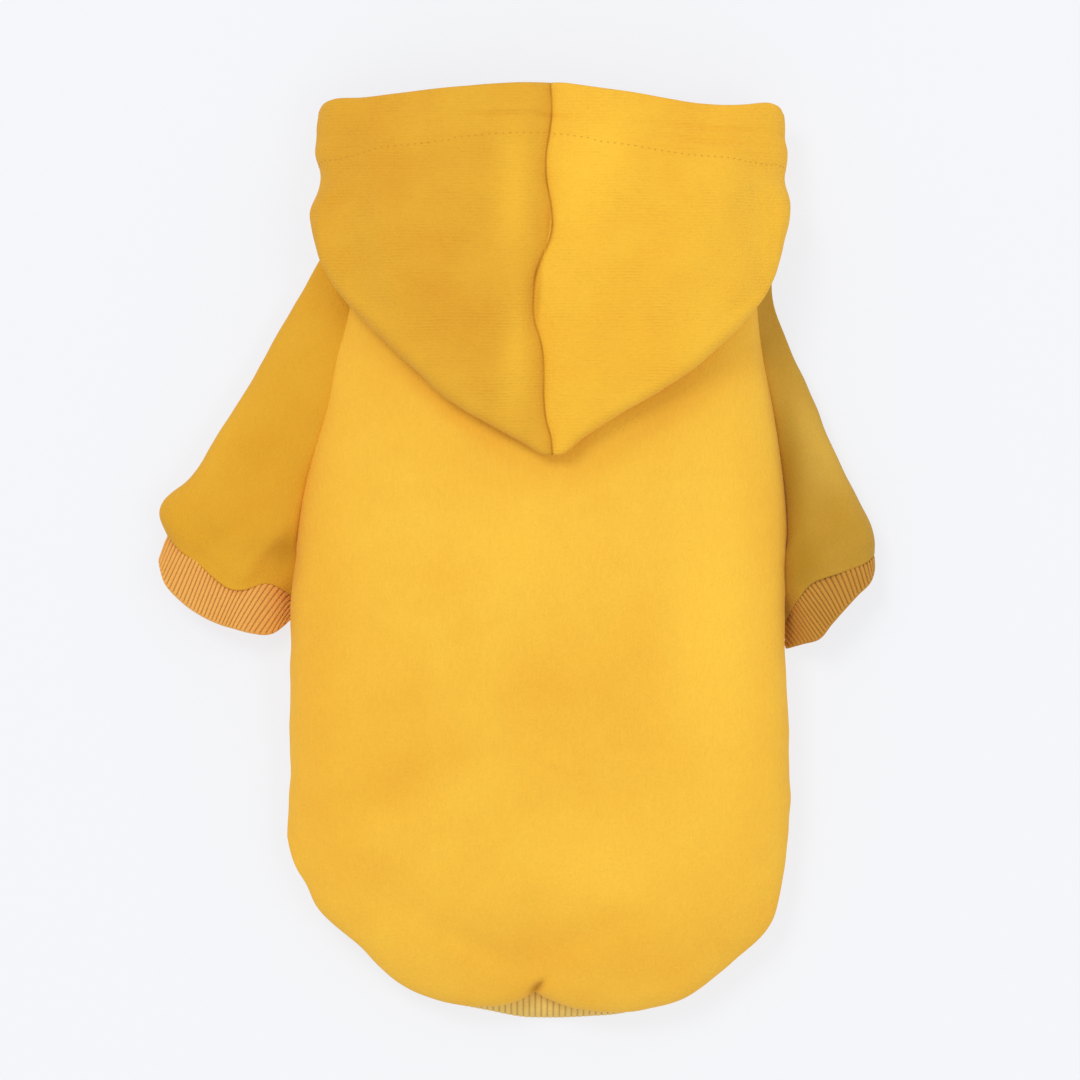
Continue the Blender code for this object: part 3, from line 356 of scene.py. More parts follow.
# The cuff, from its outer fold (share 0) to its inner fold (share 1), seen from above: the seam with
# the sleeve and the open end. Across runs along the cuff and out runs away from the sleeve.
CuffStation = namedtuple("CuffStation", "share seam_across seam_out end_across end_out")
CUFF_LEFT = table_of(
    CuffStation,
    (0.00, 0.000, 0.000, 0.025, 0.180),
    (0.14, 0.142, 0.059, 0.152, 0.300),
    (0.28, 0.281, 0.074, 0.310, 0.356),
    (0.43, 0.428, 0.107, 0.465, 0.378),
    (0.57, 0.571, 0.128, 0.610, 0.374),
    (0.70, 0.685, 0.070, 0.740, 0.350),
    (0.78, 0.765, -0.020, 0.840, 0.328),
    (0.88, 0.875, -0.040, 0.970, 0.270),
    (1.00, 1.005, -0.020, 1.060, 0.090),
)
CUFF_RIGHT = table_of(
    CuffStation,
    (0.00, 0.000, 0.000, 0.050, 0.060),
    (0.12, 0.086, 0.000, 0.150, 0.112),
    (0.25, 0.190, -0.040, 0.278, 0.118),
    (0.40, 0.320, -0.098, 0.421, 0.130),
    (0.55, 0.455, -0.155, 0.560, 0.145),
    (0.70, 0.570, -0.148, 0.689, 0.163),
    (0.85, 0.680, -0.120, 0.795, 0.115),
    (1.00, 0.790, -0.078, 0.910, 0.060),
)

# Where the waistband's open edge lies beyond its seam, in shares of WAISTBAND_DEPTH.
BandPoint = namedtuple("BandPoint", "across reach")
BAND_REACH = table_of(
    BandPoint,
    (-1.00, 0.15),
    (-0.60, 0.20),
    (-0.36, 0.31),
    (-0.20, 0.37),
    (-0.05, 0.50),
    (0.05, 0.50),
    (0.20, 0.44),
    (0.36, 0.34),
    (0.60, 0.20),
    (1.00, 0.15),
)

# Half of the belly strip's width at its seam and at its open edge, in shares of HALF_WIDTH.
BAND_SEAM_HALF = 0.900
BAND_OPEN_HALF = 0.835

# How densely the panels' cages are divided, before they are smoothed.
RAGLAN_STEPS = 14
SIDE_STEPS = 10
TAIL_STEPS = 14
HALF_ACROSS = (
    0.0, 0.012, 0.033, 0.066, 0.11, 0.158, 0.22, 0.28, 0.34, 0.40, 0.46, 0.52,
    0.575, 0.63, 0.68, 0.73, 0.775, 0.82, 0.86, 0.895, 0.93, 0.955, 0.98, 1.0,
)
TURN_STEPS = 5
BELOW_UNDERARM = (0.0, 0.15, 0.30, 0.43, 0.55, 0.65, 0.75, 0.83, 0.90, 0.955, 1.0)
SLEEVE_COLUMNS = 44
HOOD_SIDE_SHARES = (0.392, 0.405, 0.4175, 0.43, 0.4425, 0.455, 0.4675, 0.48, 0.49, 0.50)
THROAT_ACROSS = (0.96, 0.92, 0.88, 0.84, 0.77, 0.70, 0.55, 0.40, 0.20, 0.0)
HOOD_LOWER = (0.04, 0.12, 0.22, 0.34, 0.46, 0.58, 0.70)
HOOD_ROLL = (-90, -67.5, -45, -22.5, 0, 22.5, 45, 67.5, 90)
HOOD_UPPER = (0.09, 0.18, 0.28, 0.38, 0.48, 0.58, 0.68, 0.78, 0.86, 0.93)
HOOD_HEM = (1.0, 0.965, 0.93, 0.80, 0.66, 0.50, 0.36, 0.22, 0.13, 0.08)

# How finely the panels are smoothed, and the roundness of a free edge.
SUBDIVISIONS = 2
EDGE_STEPS = 3

# How finely a loop or an outline is walked to find even steps along it.
LOOP_STEPS = 720
AXIS_STEPS = 24
OUTLINE_STEPS = 4000

# Hood seam: the two halves' edges curl down into it, and the right one swells over it in one place.
SEAM_CURL_DEPTH = 0.0009
SEAM_CURL_WIDTH = 0.0013
SEAM_LAP_ALONG = 0.535
SEAM_LAP_SPAN = 0.10
SEAM_LAP_HEIGHT = 0.0010
SEAM_LAP_WIDTH = 0.0045

# Panels keep still within this reach of their sewn edges, so that neighbours meet, and their unevenness
# grows between two heights over the floor. Folds press in fully where a face's normal points up this much.
SEWN_REACH = 0.006
STILL_BELOW = 0.0005
LOOSE_ABOVE = 0.004
LOOKS_UP = 0.35

# Sleeve end: it puffs out over the cuff, which is tucked under it.
PUFF_HEIGHT = 0.0009
PUFF_FROM_END = 0.0060
PUFF_SPAN = 0.0045
TUCK_DEPTH = 0.0009
TUCK_SIDE_SHARE = 0.3
TUCK_START = -0.10
TUCK_END = 0.30

# Fan of the cuffs' ribs: how many ribs they stand further round than even ones, at the seam and at the
# open end, against the share there. Below the inner fold it fades out over this share of a turn.
FanPoint = namedtuple("FanPoint", "share seam end")
FAN_LEFT = table_of(
    FanPoint,
    (0.00, 0.0, 0.0),
    (0.30, 0.0, 0.1),
    (0.45, -0.1, 0.2),
    (0.57, -0.4, 0.4),
    (0.70, -1.2, 1.0),
    (0.80, -2.2, 1.2),
    (0.90, -3.2, 1.0),
    (1.00, -4.2, 0.4),
)
FAN_RIGHT = table_of(
    FanPoint,
    (0.00, 0.0, 0.0),
    (0.15, -1.1, -0.8),
    (0.28, -2.2, -1.6),
    (0.43, -3.7, -2.6),
    (0.62, -5.6, -2.8),
    (0.80, -7.2, -3.9),
    (1.00, -9.0, -5.0),
)
FAN_FADE = 0.20
FAN_STEPS = 1440

# What differs between the two sides. A cuff starts at shares of HALF_WIDTH across and of BODY_LENGTH
# along, and is tilted by degrees.
Side = namedtuple("Side", "name sleeve_edge cuff fan cuff_across cuff_along cuff_tilt hood")
SIDES = {
    -1: Side("left", SLEEVE_EDGE_LEFT, CUFF_LEFT, FAN_LEFT, -1.486, 0.3765, CUFF_TILT_LEFT, HOOD_LEFT),
    1: Side("right", SLEEVE_EDGE_RIGHT, CUFF_RIGHT, FAN_RIGHT, 1.334, 0.4020, CUFF_TILT_RIGHT, HOOD_RIGHT),
}

# Hood hem: a crease above the row of stitches, both measured from the rim.
HEM_CREASE_FROM_RIM = 0.0125
HEM_CREASE_DEPTH = 0.0003
HEM_CREASE_WIDTH = 0.0012
HEM_STITCHES_FROM_RIM = 0.0185
HEM_STITCH_DEPTH = 0.0003
HEM_STITCH_WIDTH = 0.0010

# Ribs of the waistband, one every pitch, and how deep its grooves are, as a share of the cuffs'.
WAISTBAND_PITCH = 0.0023
WAISTBAND_RELIEF = 0.45
BAND_EDGE_ROUNDNESS = 0.8
POINTS_A_RIB = 8

# Soft folds, pressed into the upper side. X and y are their middle in the part's frame, the angle turns
# their length from +X, and a negative depth is a ridge. Metres and degrees.
Fold = namedtuple("Fold", "panel x y angle length width depth")
FOLDS = table_of(
    Fold,
    ("hood_left", -0.050, 0.028, 4, 0.030, 0.0050, 0.0012),
    ("hood_left", -0.030, -0.010, 68, 0.028, 0.0090, 0.0012),
    ("hood_left", -0.062, -0.022, -40, 0.024, 0.0080, 0.0010),
    ("hood_left", -0.012, -0.040, 74, 0.022, 0.0050, -0.0010),
    ("hood_left", -0.078, 0.014, 24, 0.014, 0.0030, 0.0012),
    ("hood_left", -0.0133, 0.0479, 1, 0.018, 0.0009, 0.0011),
    ("hood_right", 0.0654, 0.0426, -4, 0.030, 0.0010, 0.0010),
    ("hood_right", 0.0650, 0.0375, -5, 0.030, 0.0010, 0.0009),
    ("hood_right", 0.040, 0.000, 80, 0.030, 0.0100, 0.0012),
    ("hood_right", 0.066, -0.012, 62, 0.022, 0.0070, 0.0010),
    ("hood_right", 0.020, -0.034, -68, 0.022, 0.0055, -0.0010),
    ("back_panel", -0.046, -0.205, 34, 0.030, 0.0090, 0.0012),
    ("back_panel", -0.052, -0.252, -30, 0.022, 0.0080, 0.0010),
    ("back_panel", 0.022, -0.262, 22, 0.020, 0.0060, 0.0010),
    ("back_panel", -0.022, -0.268, -24, 0.016, 0.0050, 0.0014),
    ("back_panel", -0.0014, -0.2836, 50, 0.0042, 0.0013, 0.0022),
    ("back_panel", 0.062, -0.090, -62, 0.030, 0.0080, 0.0010),
    ("back_panel", -0.068, -0.100, 70, 0.030, 0.0070, 0.0010),
    ("back_panel", 0.010, -0.150, 88, 0.040, 0.0140, 0.0008),
    ("sleeve_left", -0.104, -0.084, 64, 0.026, 0.0060, 0.0012),
    ("sleeve_left", -0.122, -0.114, 38, 0.016, 0.0045, 0.0012),
    ("sleeve_left", -0.108, -0.122, 52, 0.012, 0.0035, -0.0010),
    ("sleeve_left", -0.098, -0.118, 30, 0.012, 0.0050, 0.0022),
    ("sleeve_right", 0.104, -0.080, -66, 0.026, 0.0050, 0.0011),
    ("sleeve_right", 0.112, -0.118, -38, 0.014, 0.0045, 0.0011),
    ("sleeve_right", 0.120, -0.104, -60, 0.012, 0.0035, -0.0009),
)

# Unevenness of the cloth: many faint waves in all directions.
RIPPLE_WAVES = 14
RIPPLE_SHORTEST = 0.009
RIPPLE_LONGEST = 0.045
RIPPLE_TILT = 0.7
RIPPLE_DEPTH = 0.00044
RIPPLE_SEED = 7

# Flat sizes of the cut pieces, as width, length and area, one layer of cloth each.
Cut = namedtuple("Cut", "name width length area")
CUTS = table_of(
    Cut,
    ("back_panel", 0.225, 0.310, 0.0615),
    ("belly_panel", 0.186, 0.226, 0.0385),
    ("waistband_back", 0.285, 0.010, 0.0027),
    ("waistband_belly", 0.172, 0.019, 0.0032),
    ("sleeve_left", 0.100, 0.140, 0.0104),
    ("sleeve_right", 0.078, 0.130, 0.0070),
    ("cuff_left", 0.106, 0.019, 0.0020),
    ("cuff_right", 0.096, 0.017, 0.0016),
    ("hood_left", 0.170, 0.150, 0.0216),
    ("hood_right", 0.174, 0.150, 0.0222),
)

# Camera over the middle of the picture, which takes in 0.41 m, and the stage.
PICTURE_SIDE = 0.4104
PICTURE_MIDDLE = (0.0, -0.1132)
PICTURE_HEIGHT = 0.015
LENS = 400.0
SENSOR = 36.0
FURTHEST = 100.0
FLOOR_SIDE = 6.0
FLOOR_DROP = 0.0002

# Unevenness of the cloths: size in metres, detail and roughness of each noise, how much it shades the
# colour, and how high it stands in shares of the nap's depth.
Grain = namedtuple("Grain", "size detail roughness shade height")
WIDE_MOTTLE = Grain(0.055, 3.0, 0.5, 1.6, 0.0)
FINE_MOTTLE = Grain(0.016, 3.0, 0.5, 0.8, 0.0)
RIB_MOTTLE = Grain(0.018, 2.0, 0.5, 0.9, 0.0)
BODY_FLECKS = Grain(0.0009, 2.0, 0.6, 0.10, 0.5)
SLEEVE_FLECKS = Grain(0.0009, 2.0, 0.6, 0.08, 0.4)
HOOD_FLECKS = Grain(0.0008, 2.0, 0.6, 0.10, 0.6)
NAP = Grain(0.0011, 3.0, 0.7, 0.10, 0.8)
FUZZ = Grain(0.00042, 1.0, 0.5, 0.07, 0.35)
LOOPS = Grain(0.0006, 2.0, 0.6, 0.16, 0.6)
RIB_NAP = Grain(0.0012, 2.0, 0.6, 0.12, 0.5)
TWIST = Grain(0.0005, 1.0, 0.5, 1.0, 1.0)
MOTTLE = 0.9

# Colours and grain of each fleece, linear. The left hood half and both sleeves, the right one most, have
# deeper colours than the body as painted shade, the same cloth where less light falls. Stretch is how much
# longer the flecks are along X, Y and Z, and a row shade of 0 leaves out the rows of knit.
Fleece = namedtuple("Fleece", "name light deep flecks stretch row_shade")
ALONG_Y = (1.0, 5.0, 1.0)
ALONG_X = (5.0, 1.0, 1.0)
BODY_LIGHT, BODY_DEEP = (0.93, 0.555, 0.056), (0.88, 0.450, 0.040)
FLEECES = table_of(
    Fleece,
    ("back_fleece", BODY_LIGHT, BODY_DEEP, BODY_FLECKS, ALONG_Y, 0.0),
    ("belly_fleece", BODY_LIGHT, BODY_DEEP, BODY_FLECKS, ALONG_Y, 0.0),
    # Painted shade: the sleeves' colours, deepest on the right sleeve beside the body.
    ("sleeve_left_fleece", (0.78, 0.42, 0.033), (0.72, 0.345, 0.020), SLEEVE_FLECKS, ALONG_Y, 0.0),
    ("sleeve_right_fleece", (0.60, 0.360, 0.054), (0.50, 0.255, 0.020), SLEEVE_FLECKS, ALONG_Y, 0.0),
    # Painted shade: the left hood half's colours are deeper than the right half's.
    ("hood_left_fleece", (0.80, 0.44, 0.036), (0.73, 0.345, 0.026), HOOD_FLECKS, ALONG_X, 0.040),
    ("hood_right_fleece", (0.94, 0.545, 0.046), (0.89, 0.455, 0.034), HOOD_FLECKS, ALONG_X, 0.032),
)
# Colours of each rib knit, linear. The right cuff's are deeper than the left cuff's as painted shade.
Rib = namedtuple("Rib", "name light deep")
RIBS = (
    Rib("cuff_left_rib", (0.92, 0.48, 0.125), (0.82, 0.37, 0.075)),
    Rib("cuff_right_rib", (0.64, 0.32, 0.060), (0.50, 0.225, 0.030)),
    Rib("waistband_rib", (0.92, 0.62, 0.165), (0.82, 0.52, 0.120)),
)

# The hood's rows of knit: they sway a little, and fade out in places.
ROW_PITCH = 0.0012
ROW_HEIGHT = 0.24
ROW_SWAY = Grain(0.02, 1.0, 0.5, 1.2, 0.0)
ROW_FADE = Grain(0.014, 2.0, 0.5, 2.2, 0.0)
ROW_STRENGTH = 0.35

# Line of the hood's centre seam: how far its shade reaches, and its colour.
SEAM_LINE_REACH = 0.00042
SEAM_LINE_COLOUR = (0.46, 0.185, 0.009)
SEAM_LINE_STRENGTH = 0.95
SEAM_LINE_FADE = Grain(0.012, 1.0, 0.5, 0.9, 0.0)

# Patches of painted shade, where a cloth is deeper, such as shadows under the hood's V edge, in hollows and
# creases
# and on the right sleeve beside the body, and of painted light, where the strength is negative and it is
# paler:
# middle and half widths in the part's own frame, with the first width turned from +X by an angle. Metres and
# degrees.
Patch = namedtuple("Patch", "material x y angle width length strength")
PAINTED_SHADE_AND_LIGHT = table_of(
    Patch,
    ("back_fleece", -0.0535, -0.2045, 20, 0.018, 0.015, 0.85),
    ("back_fleece", -0.0010, -0.2680, 0, 0.030, 0.011, 0.75),
    ("back_fleece", -0.0690, -0.2380, -40, 0.030, 0.014, 0.50),
    ("back_fleece", -0.0850, -0.1500, 90, 0.080, 0.014, 0.80),
    ("back_fleece", 0.0100, -0.1700, 0, 0.022, 0.012, 0.55),
    ("back_fleece", 0.0500, -0.0640, 33, 0.032, 0.0062, 1.15),
    ("back_fleece", -0.0016, -0.2838, 50, 0.0034, 0.0011, 1.8),
    ("back_fleece", -0.0330, -0.0650, -38, 0.026, 0.0035, 0.75),
    ("back_fleece", 0.0680, -0.1500, 90, 0.070, 0.022, -0.75),
    ("back_fleece", 0.0000, -0.1150, 0, 0.040, 0.022, -0.45),
    ("back_fleece", 0.0250, -0.2350, 10, 0.040, 0.020, -0.55),
    ("sleeve_left_fleece", -0.0965, -0.1180, 60, 0.0080, 0.0052, 1.55),
    ("sleeve_left_fleece", -0.1080, -0.1020, 50, 0.018, 0.007, 0.5),
    ("sleeve_left_fleece", -0.1180, -0.0660, 63, 0.030, 0.007, -0.4),
    ("sleeve_right_fleece", 0.0945, -0.0900, 92, 0.034, 0.0060, 1.5),
    ("sleeve_right_fleece", 0.0985, -0.1230, 90, 0.012, 0.0085, 1.3),
    ("sleeve_right_fleece", 0.1070, -0.0760, -62, 0.022, 0.007, -0.9),
    ("sleeve_right_fleece", 0.1140, -0.1110, 0, 0.010, 0.014, 0.45),
    ("hood_left_fleece", -0.0100, 0.0180, 88, 0.026, 0.0065, -0.9),
    ("hood_left_fleece", -0.0090, -0.0450, 84, 0.022, 0.0060, -0.9),
    ("hood_left_fleece", -0.0700, 0.0400, 80, 0.014, 0.008, 0.5),
    ("hood_left_fleece", 0.0030, 0.0072, 90, 0.0050, 0.0011, 1.0),
    ("hood_left_fleece", 0.0020, 0.0475, 0, 0.0042, 0.0013, 0.9),
    ("hood_right_fleece", 0.0060, 0.0470, 0, 0.0050, 0.0013, 0.9),
    ("hood_right_fleece", -0.0006, -0.0210, 86, 0.0110, 0.0012, 1.35),
    ("hood_right_fleece", 0.0200, 0.0300, 80, 0.026, 0.010, -0.5),
    ("hood_right_fleece", 0.0420, -0.0050, 55, 0.030, 0.008, 0.45),
)

# The palest painted light and the deepest painted shade of the patches, as shares of a cloth's light and deep
# colours, and a height through which each of the patches reaches.
PAINTED_LIGHT_SHARE = 1.10
PAINTED_SHADE_DEEPEST = 0.58
THROUGH = 1000.0

# Finishes of the cloths and the thread.
FLEECE_ROUGHNESS = 0.92
RIB_ROUGHNESS = 0.9
THREAD_ROUGHNESS = 0.7
THREAD_SHEEN = 0.2
THREAD_RELIEF = 0.0001
CLOTH_SPECULAR = 0.15
CLOTH_SHEEN = 0.15
SHEEN_ROUGHNESS = 0.5
SHEEN_TINT = (1.0, 0.85, 0.55, 1.0)

# The ribs' grooves: how narrow they are, how deep the painted shade in them is as a share of the rib's deep
# colour, and how fully that painted shade fills them.
RIB_GROOVE_POWER = 2.2
RIB_GROOVE_SHADE = 0.58
RIB_GROOVE_SHADE_SHARE = 0.9

# Thread of the hem's stitches.
THREAD_LIGHT = (0.74, 0.39, 0.036)
THREAD_DEEP = (0.50, 0.24, 0.020)

# Stitches: how far over the cloth they are laid, how they share out each step of the hem, and the
# roundness of a stitch. Below, how many loops of points a cuff and a half of the waistband have.
STITCH_SEARCH = 0.004
STITCH_RISE = 0.00005
STITCH_SHARES = (0.0, 0.34, 0.67)
STITCH_SIDES = 8
STITCH_RINGS = 6
CUFF_LOOPS = 18
BAND_LOOPS = 12

# The stage. The floor glows a little from below, as a light table does, which keeps shadows faint.
FLOOR_COLOUR = (0.905, 0.915, 0.945)
FLOOR_GLOW = 0.80
FLOOR_ROUGHNESS = 0.9
SKY_COLOUR = (1.0, 1.0, 1.0)
SKY_STRENGTH = 0.72
LAMP_COLOUR = (1.0, 0.99, 0.97)
Lamp = namedtuple("Lamp", "name x y z size watts")
LAMPS = (
    Lamp("key", -1.9, 2.3, 4.6, 2.0, 84.0),
    Lamp("fill", 2.6, -0.6, 4.4, 2.6, 34.0),
)


def named(table, name):
    """The row of a table that has a name."""
    return next(row for row in table if row.name == name)


def hermite(f, step, start, end, start_slope, end_slope):
    """A smooth way from one value to the next, a share f of a step, with the given slopes at its ends."""
    return (
        (2 * f**3 - 3 * f**2 + 1) * start
        + (f**3 - 2 * f**2 + f) * step * start_slope
        + (3 * f**2 - 2 * f**3) * end
        + (f**3 - f**2) * step * end_slope
    )


def read(table, column, at):
    """Reads a column of a table smoothly, against the table's first column."""
    places = np.array([row[0] for row in table])
    values = np.array([getattr(row, column) for row in table])
    slopes = np.gradient(values, places)
    at = np.clip(np.asarray(at, float), places[0], places[-1])
    i = np.clip(np.searchsorted(places, at, side="right") - 1, 0, len(places) - 2)
    step = places[i + 1] - places[i]
    return hermite((at - places[i]) / step, step, values[i], values[i + 1], slopes[i], slopes[i + 1])


def smoothstep(x, start, end):
    """0 up to the start, 1 from the end on, and an even bend between them."""
    f = np.clip((np.asarray(x, float) - start) / (end - start), 0, 1)
    return f * f * (3 - 2 * f)


def hump(at, middle, width):
    """1 at the middle, and fading to 0 on both sides of it."""
    return np.exp(-(((at - middle) / width) ** 2))


def run_along(points):
    """How far along a line each of its points is."""
    return np.concatenate([[0], np.cumsum(np.linalg.norm(np.diff(points, axis=0), axis=1))])


def pinch(across):
    """How much of the pinch reaches a place across the tail hem, from 0 to 1."""
    return np.exp(-np.abs(across - PINCH_ACROSS) / PINCH_WIDTH)


def back_surface(across, row, pinched=1.0):
    """A point of the back's outer face. Across runs from -1 at the left edge to 1 at the right one, and
    row from 0 at the neckline to 1 at the tail's outline."""
    across, row = np.broadcast_arrays(np.asarray(across, float), np.asarray(row, float))
    along = row * TAIL_START
    left = read(BODY, "left", along)
    right = read(BODY, "right", along)
    x = across * HALF_WIDTH * np.where(across < 0, left, right)
    tail = np.clip((row - TAIL_BEND_START) / (1 - TAIL_BEND_START), 0, 1) ** 2
    level = smoothstep(row, TAIL_EDGE_START, 1.0)
    drop = read(TAIL, "drop", across) * TAIL_LENGTH
    drop = drop - pinched * pinch(across) * PINCH_DEPTH * level
    rise = NECK_RISE * (1 - across**2) * (1 - smoothstep(row, 0, NECK_RISE_END))
    y = rise - along * BODY_LENGTH - drop * tail

    left_edge = read(BODY, "left_edge", along) * BODY_HEIGHT
    right_edge = read(BODY, "right_edge", along) * BODY_HEIGHT
    edge = left_edge + (right_edge - left_edge) * (across + 1) / 2
    edge = edge + (TAIL_EDGE_HEIGHT - edge) * level
    power = np.where(across < 0, read(BODY, "softness", along), RIGHT_SOFTNESS)
    dome = (1 - np.abs(across) ** BACK_ROUNDNESS) ** power
    cap = np.clip((row - TAIL_CAP_START) / (1 - TAIL_CAP_START), 0, 1)
    dome = dome * np.sqrt(np.clip(1 - cap**BACK_ROUNDNESS, 0, 1))
    z = edge + (read(BODY, "crown", along) * BODY_HEIGHT - edge) * dome
    for hollow in HOLLOWS:
        far = ((across - hollow.across) / hollow.across_span) ** 2
        far = far + ((-y / BODY_LENGTH - hollow.along) / hollow.along_span) ** 2
        z = z - hollow.depth * BODY_HEIGHT * np.exp(-far) * np.sqrt(dome)
    crease = smoothstep(row, PINCH_CREASE_START, PINCH_CREASE_END)
    crease = crease * (1 - smoothstep(row, PINCH_CREASE_END, 1.0))
    z = z - PINCH_CREASE * pinch(across) * crease
    return np.stack([x, y, z], axis=-1)


def back_height(x, y):
    """Height of the back's outer face over a place on the shoulders, where the rows run straight across."""
    row = np.clip(-y / BODY_LENGTH / TAIL_START, 0, SHOULDER_END)
    along = row * TAIL_START
    half = HALF_WIDTH * np.where(x < 0, read(BODY, "left", along), read(BODY, "right", along))
    return back_surface(np.clip(x / half, -JUST_INSIDE, JUST_INSIDE), row)[..., 2]


def support_height(x, y):
    """Highest place of the back close to a point, on which the laid-back hood rests."""
    heights = []
    for dx in (-SUPPORT_REACH, 0, SUPPORT_REACH):
        heights += [back_height(x + dx, y), back_height(x + dx, y - SUPPORT_REACH)]
    return float(np.max(heights))


def turn_under(along):
    """How far the side of the body turns in under itself."""
    start = UNDERARM * BODY_LENGTH
    grown = smoothstep(along * BODY_LENGTH, start, start + TURN_LENGTH)
    return UNDERARM_TURN_UNDER + (SIDE_TURN_UNDER - UNDERARM_TURN_UNDER) * grown


def at_corner(along):
    """From 0 along the sides to 1 at the corners of the waist."""
    return smoothstep(along / TAIL_START, TAIL_CAP_START, 1.0)


def side_inset(along):
    """How far the back's edge lies in from the outline, along the sides."""
    corner = at_corner(along)
    return turn_under(along) * (1 - corner) + TAIL_TURN_UNDER * corner


def side_seam_height(along):
    """The back panel ends just above the belly panel, and higher at the corners of the waist."""
    low = FLEECE - SEAM_OVERLAP
    return low + (CORNER_SEAM_HEIGHT - low) * at_corner(along)


def belly_edge(side, along):
    """A point of the belly panel's edge: the front raglan seam, then the side seam."""
    x = side * (HALF_WIDTH * read(BODY, SIDES[side].name, along) - side_inset(along))
    return np.stack([x, -along * BODY_LENGTH, 0 * x], axis=-1)


def rows_of_back():
    """The rows of the back's cage: along the raglan seams, the sides, and closer over the tail."""
    raglan = np.linspace(0, UNDERARM / TAIL_START, RAGLAN_STEPS + 1)
    sides = np.linspace(raglan[-1], TAIL_CAP_START, SIDE_STEPS + 1)
    bend = np.sin(np.linspace(0, math.pi / 2, TAIL_STEPS + 1))
    return np.concatenate([raglan, sides[1:], TAIL_CAP_START + (1 - TAIL_CAP_START) * bend[1:]])


def columns_of_back():
    """The columns of the back's cage, with a few close ones at the pinch."""
    half = np.array(HALF_ACROSS)
    both = np.concatenate([-half[:0:-1], half])
    near_pinch = PINCH_ACROSS + PINCH_WIDTH * np.array(PINCH_COLUMNS)
    kept = both[np.abs(both - PINCH_ACROSS) > PINCH_CLEAR * PINCH_WIDTH]
    return np.sort(np.concatenate([kept, near_pinch, [0.0]]))


def outline_normals(points):
    """Outward directions, seen from above, along an outline that runs with the body on its left."""
    ahead = np.gradient(points[:, :2], axis=0)
    normals = np.stack([ahead[:, 1], -ahead[:, 0]], axis=-1)
    return normals / np.linalg.norm(normals, axis=1, keepdims=True)


def turned_edge(outline, inward, bottom, steps):
    """Rows that roll an outline under by a quarter turn, inward and down to a height."""
    normals = outline_normals(outline)
    rows = []
    for angle in np.linspace(0, math.pi / 2, steps + 1)[1:]:
        row = outline.copy()
        row[:, :2] -= normals * (inward * (1 - math.cos(angle)))[:, None]
        row[:, 2] -= (outline[:, 2] - bottom) * math.sin(angle)
        rows.append(row)
    return rows


def grid_mesh(grid):
    """A mesh of quads through rows of points. Its faces look along the rows' direction crossed with the
    columns'."""
    mesh = bmesh.new()
    rows, columns = grid.shape[:2]
    verts = [[mesh.verts.new(point) for point in row] for row in grid]
    for i in range(rows - 1):
        for j in range(columns - 1):
            mesh.faces.new((verts[i][j], verts[i + 1][j], verts[i + 1][j + 1], verts[i][j + 1]))
    return mesh, verts


def add_strip(mesh, first, rows):
    """Adds rows of points below a row of vertices, as a strip of quads."""
    above = first
    for row in rows:
        below = [mesh.verts.new(point) for point in row]
        for j in range(len(above) - 1):
            mesh.faces.new((above[j], below[j], below[j + 1], above[j + 1]))
        above = below
    return above


def tail_inset(across):
    """How far the tail hem turns under, which is little at the pinch."""
    return TAIL_TURN_UNDER * (1 - PINCH_HOLDS * pinch(across))


def tail_seam_height(across):
    """The tail's seam with the waistband, lower towards the corners of the waist."""
    return TAIL_SEAM_HEIGHT + (CORNER_SEAM_HEIGHT - TAIL_SEAM_HEIGHT) * np.abs(across) ** TAIL_SEAM_POWER


def cuff_point(side, share, out):
    """A place of the cuff seen from above. Share runs from its outer fold to its inner one, and out from 0
    at the seam to 1 at the open end."""
    own = SIDES[side]
    tilt = math.radians(own.cuff_tilt)
    seam_across, end_across = read(own.cuff, "seam_across", share), read(own.cuff, "end_across", share)
    seam_out, end_out = read(own.cuff, "seam_out", share), read(own.cuff, "end_out", share)
    run = CUFF_WIDTH * (seam_across + (end_across - seam_across) * out)
    away = CUFF_WIDTH * (seam_out + (end_out - seam_out) * out)
    x = own.cuff_across * HALF_WIDTH + run * math.cos(tilt) + side * away * math.sin(tilt)
    y = -own.cuff_along * BODY_LENGTH - run * math.sin(tilt) + side * away * math.cos(tilt)
    return x, y


def even_angles(side, count):
    """Angles that stand evenly round the cuff, from its outer fold."""
    fine = np.linspace(0, 2 * math.pi, LOOP_STEPS + 1)
    loop = cuff_loop(side, 0.5, fine)
    run = run_along(loop)
    return np.interp(np.arange(count) / count * run[-1], run, fine)


def cuff_loop(side, out, angles):
    """A loop round the cuff. Angle 0 is the outer fold, a quarter turn the top, half a turn the inner
    fold."""
    share = (1 - np.cos(angles)) / 2
    x, y = cuff_point(side, share, out)
    fold = SLEEVE_FOLD_HEIGHT
    z = fold + np.where(np.sin(angles) > 0, CUFF_HEIGHT - fold, fold - FLOOR_GAP) * np.sin(angles)
    z = z * (1 - INNER_PRESS * smoothstep(share, INNER_PRESS_START, 1.0))
    return np.stack([x, y, z], axis=-1)


def cuff_axes(side):
    """The cuff's directions seen from above: away from the sleeve, and across to its inner fold."""
    angles = np.linspace(0, 2 * math.pi, AXIS_STEPS, endpoint=False)
    away = cuff_loop(side, 1.0, angles).mean(axis=0) - cuff_loop(side, 0.0, angles).mean(axis=0)
    away = away[:2] / np.linalg.norm(away[:2])
    return away, np.array([away[1], -away[0]]) * side


def inward_of_tube(angles, run, height):
    """Inward directions round a flattened tube, along its run and upward."""
    along = np.cos(angles) * height
    up = -np.sin(angles) * run
    size = np.hypot(along, up)
    return along / size, up / size


def neck_side(side, f):
    """The neckline's end at the shoulder, from the back's corner (0) out and round to the belly's (1)."""
    top = back_surface(float(side), 0.0)
    bottom = belly_edge(side, 0.0)
    point = top + (bottom - top) * f
    point[0] += side * NECK_SIDE_REACH * math.sin(math.pi * f)
    point[2] = top[2] * (1 + math.cos(math.pi * f)) / 2
    return point


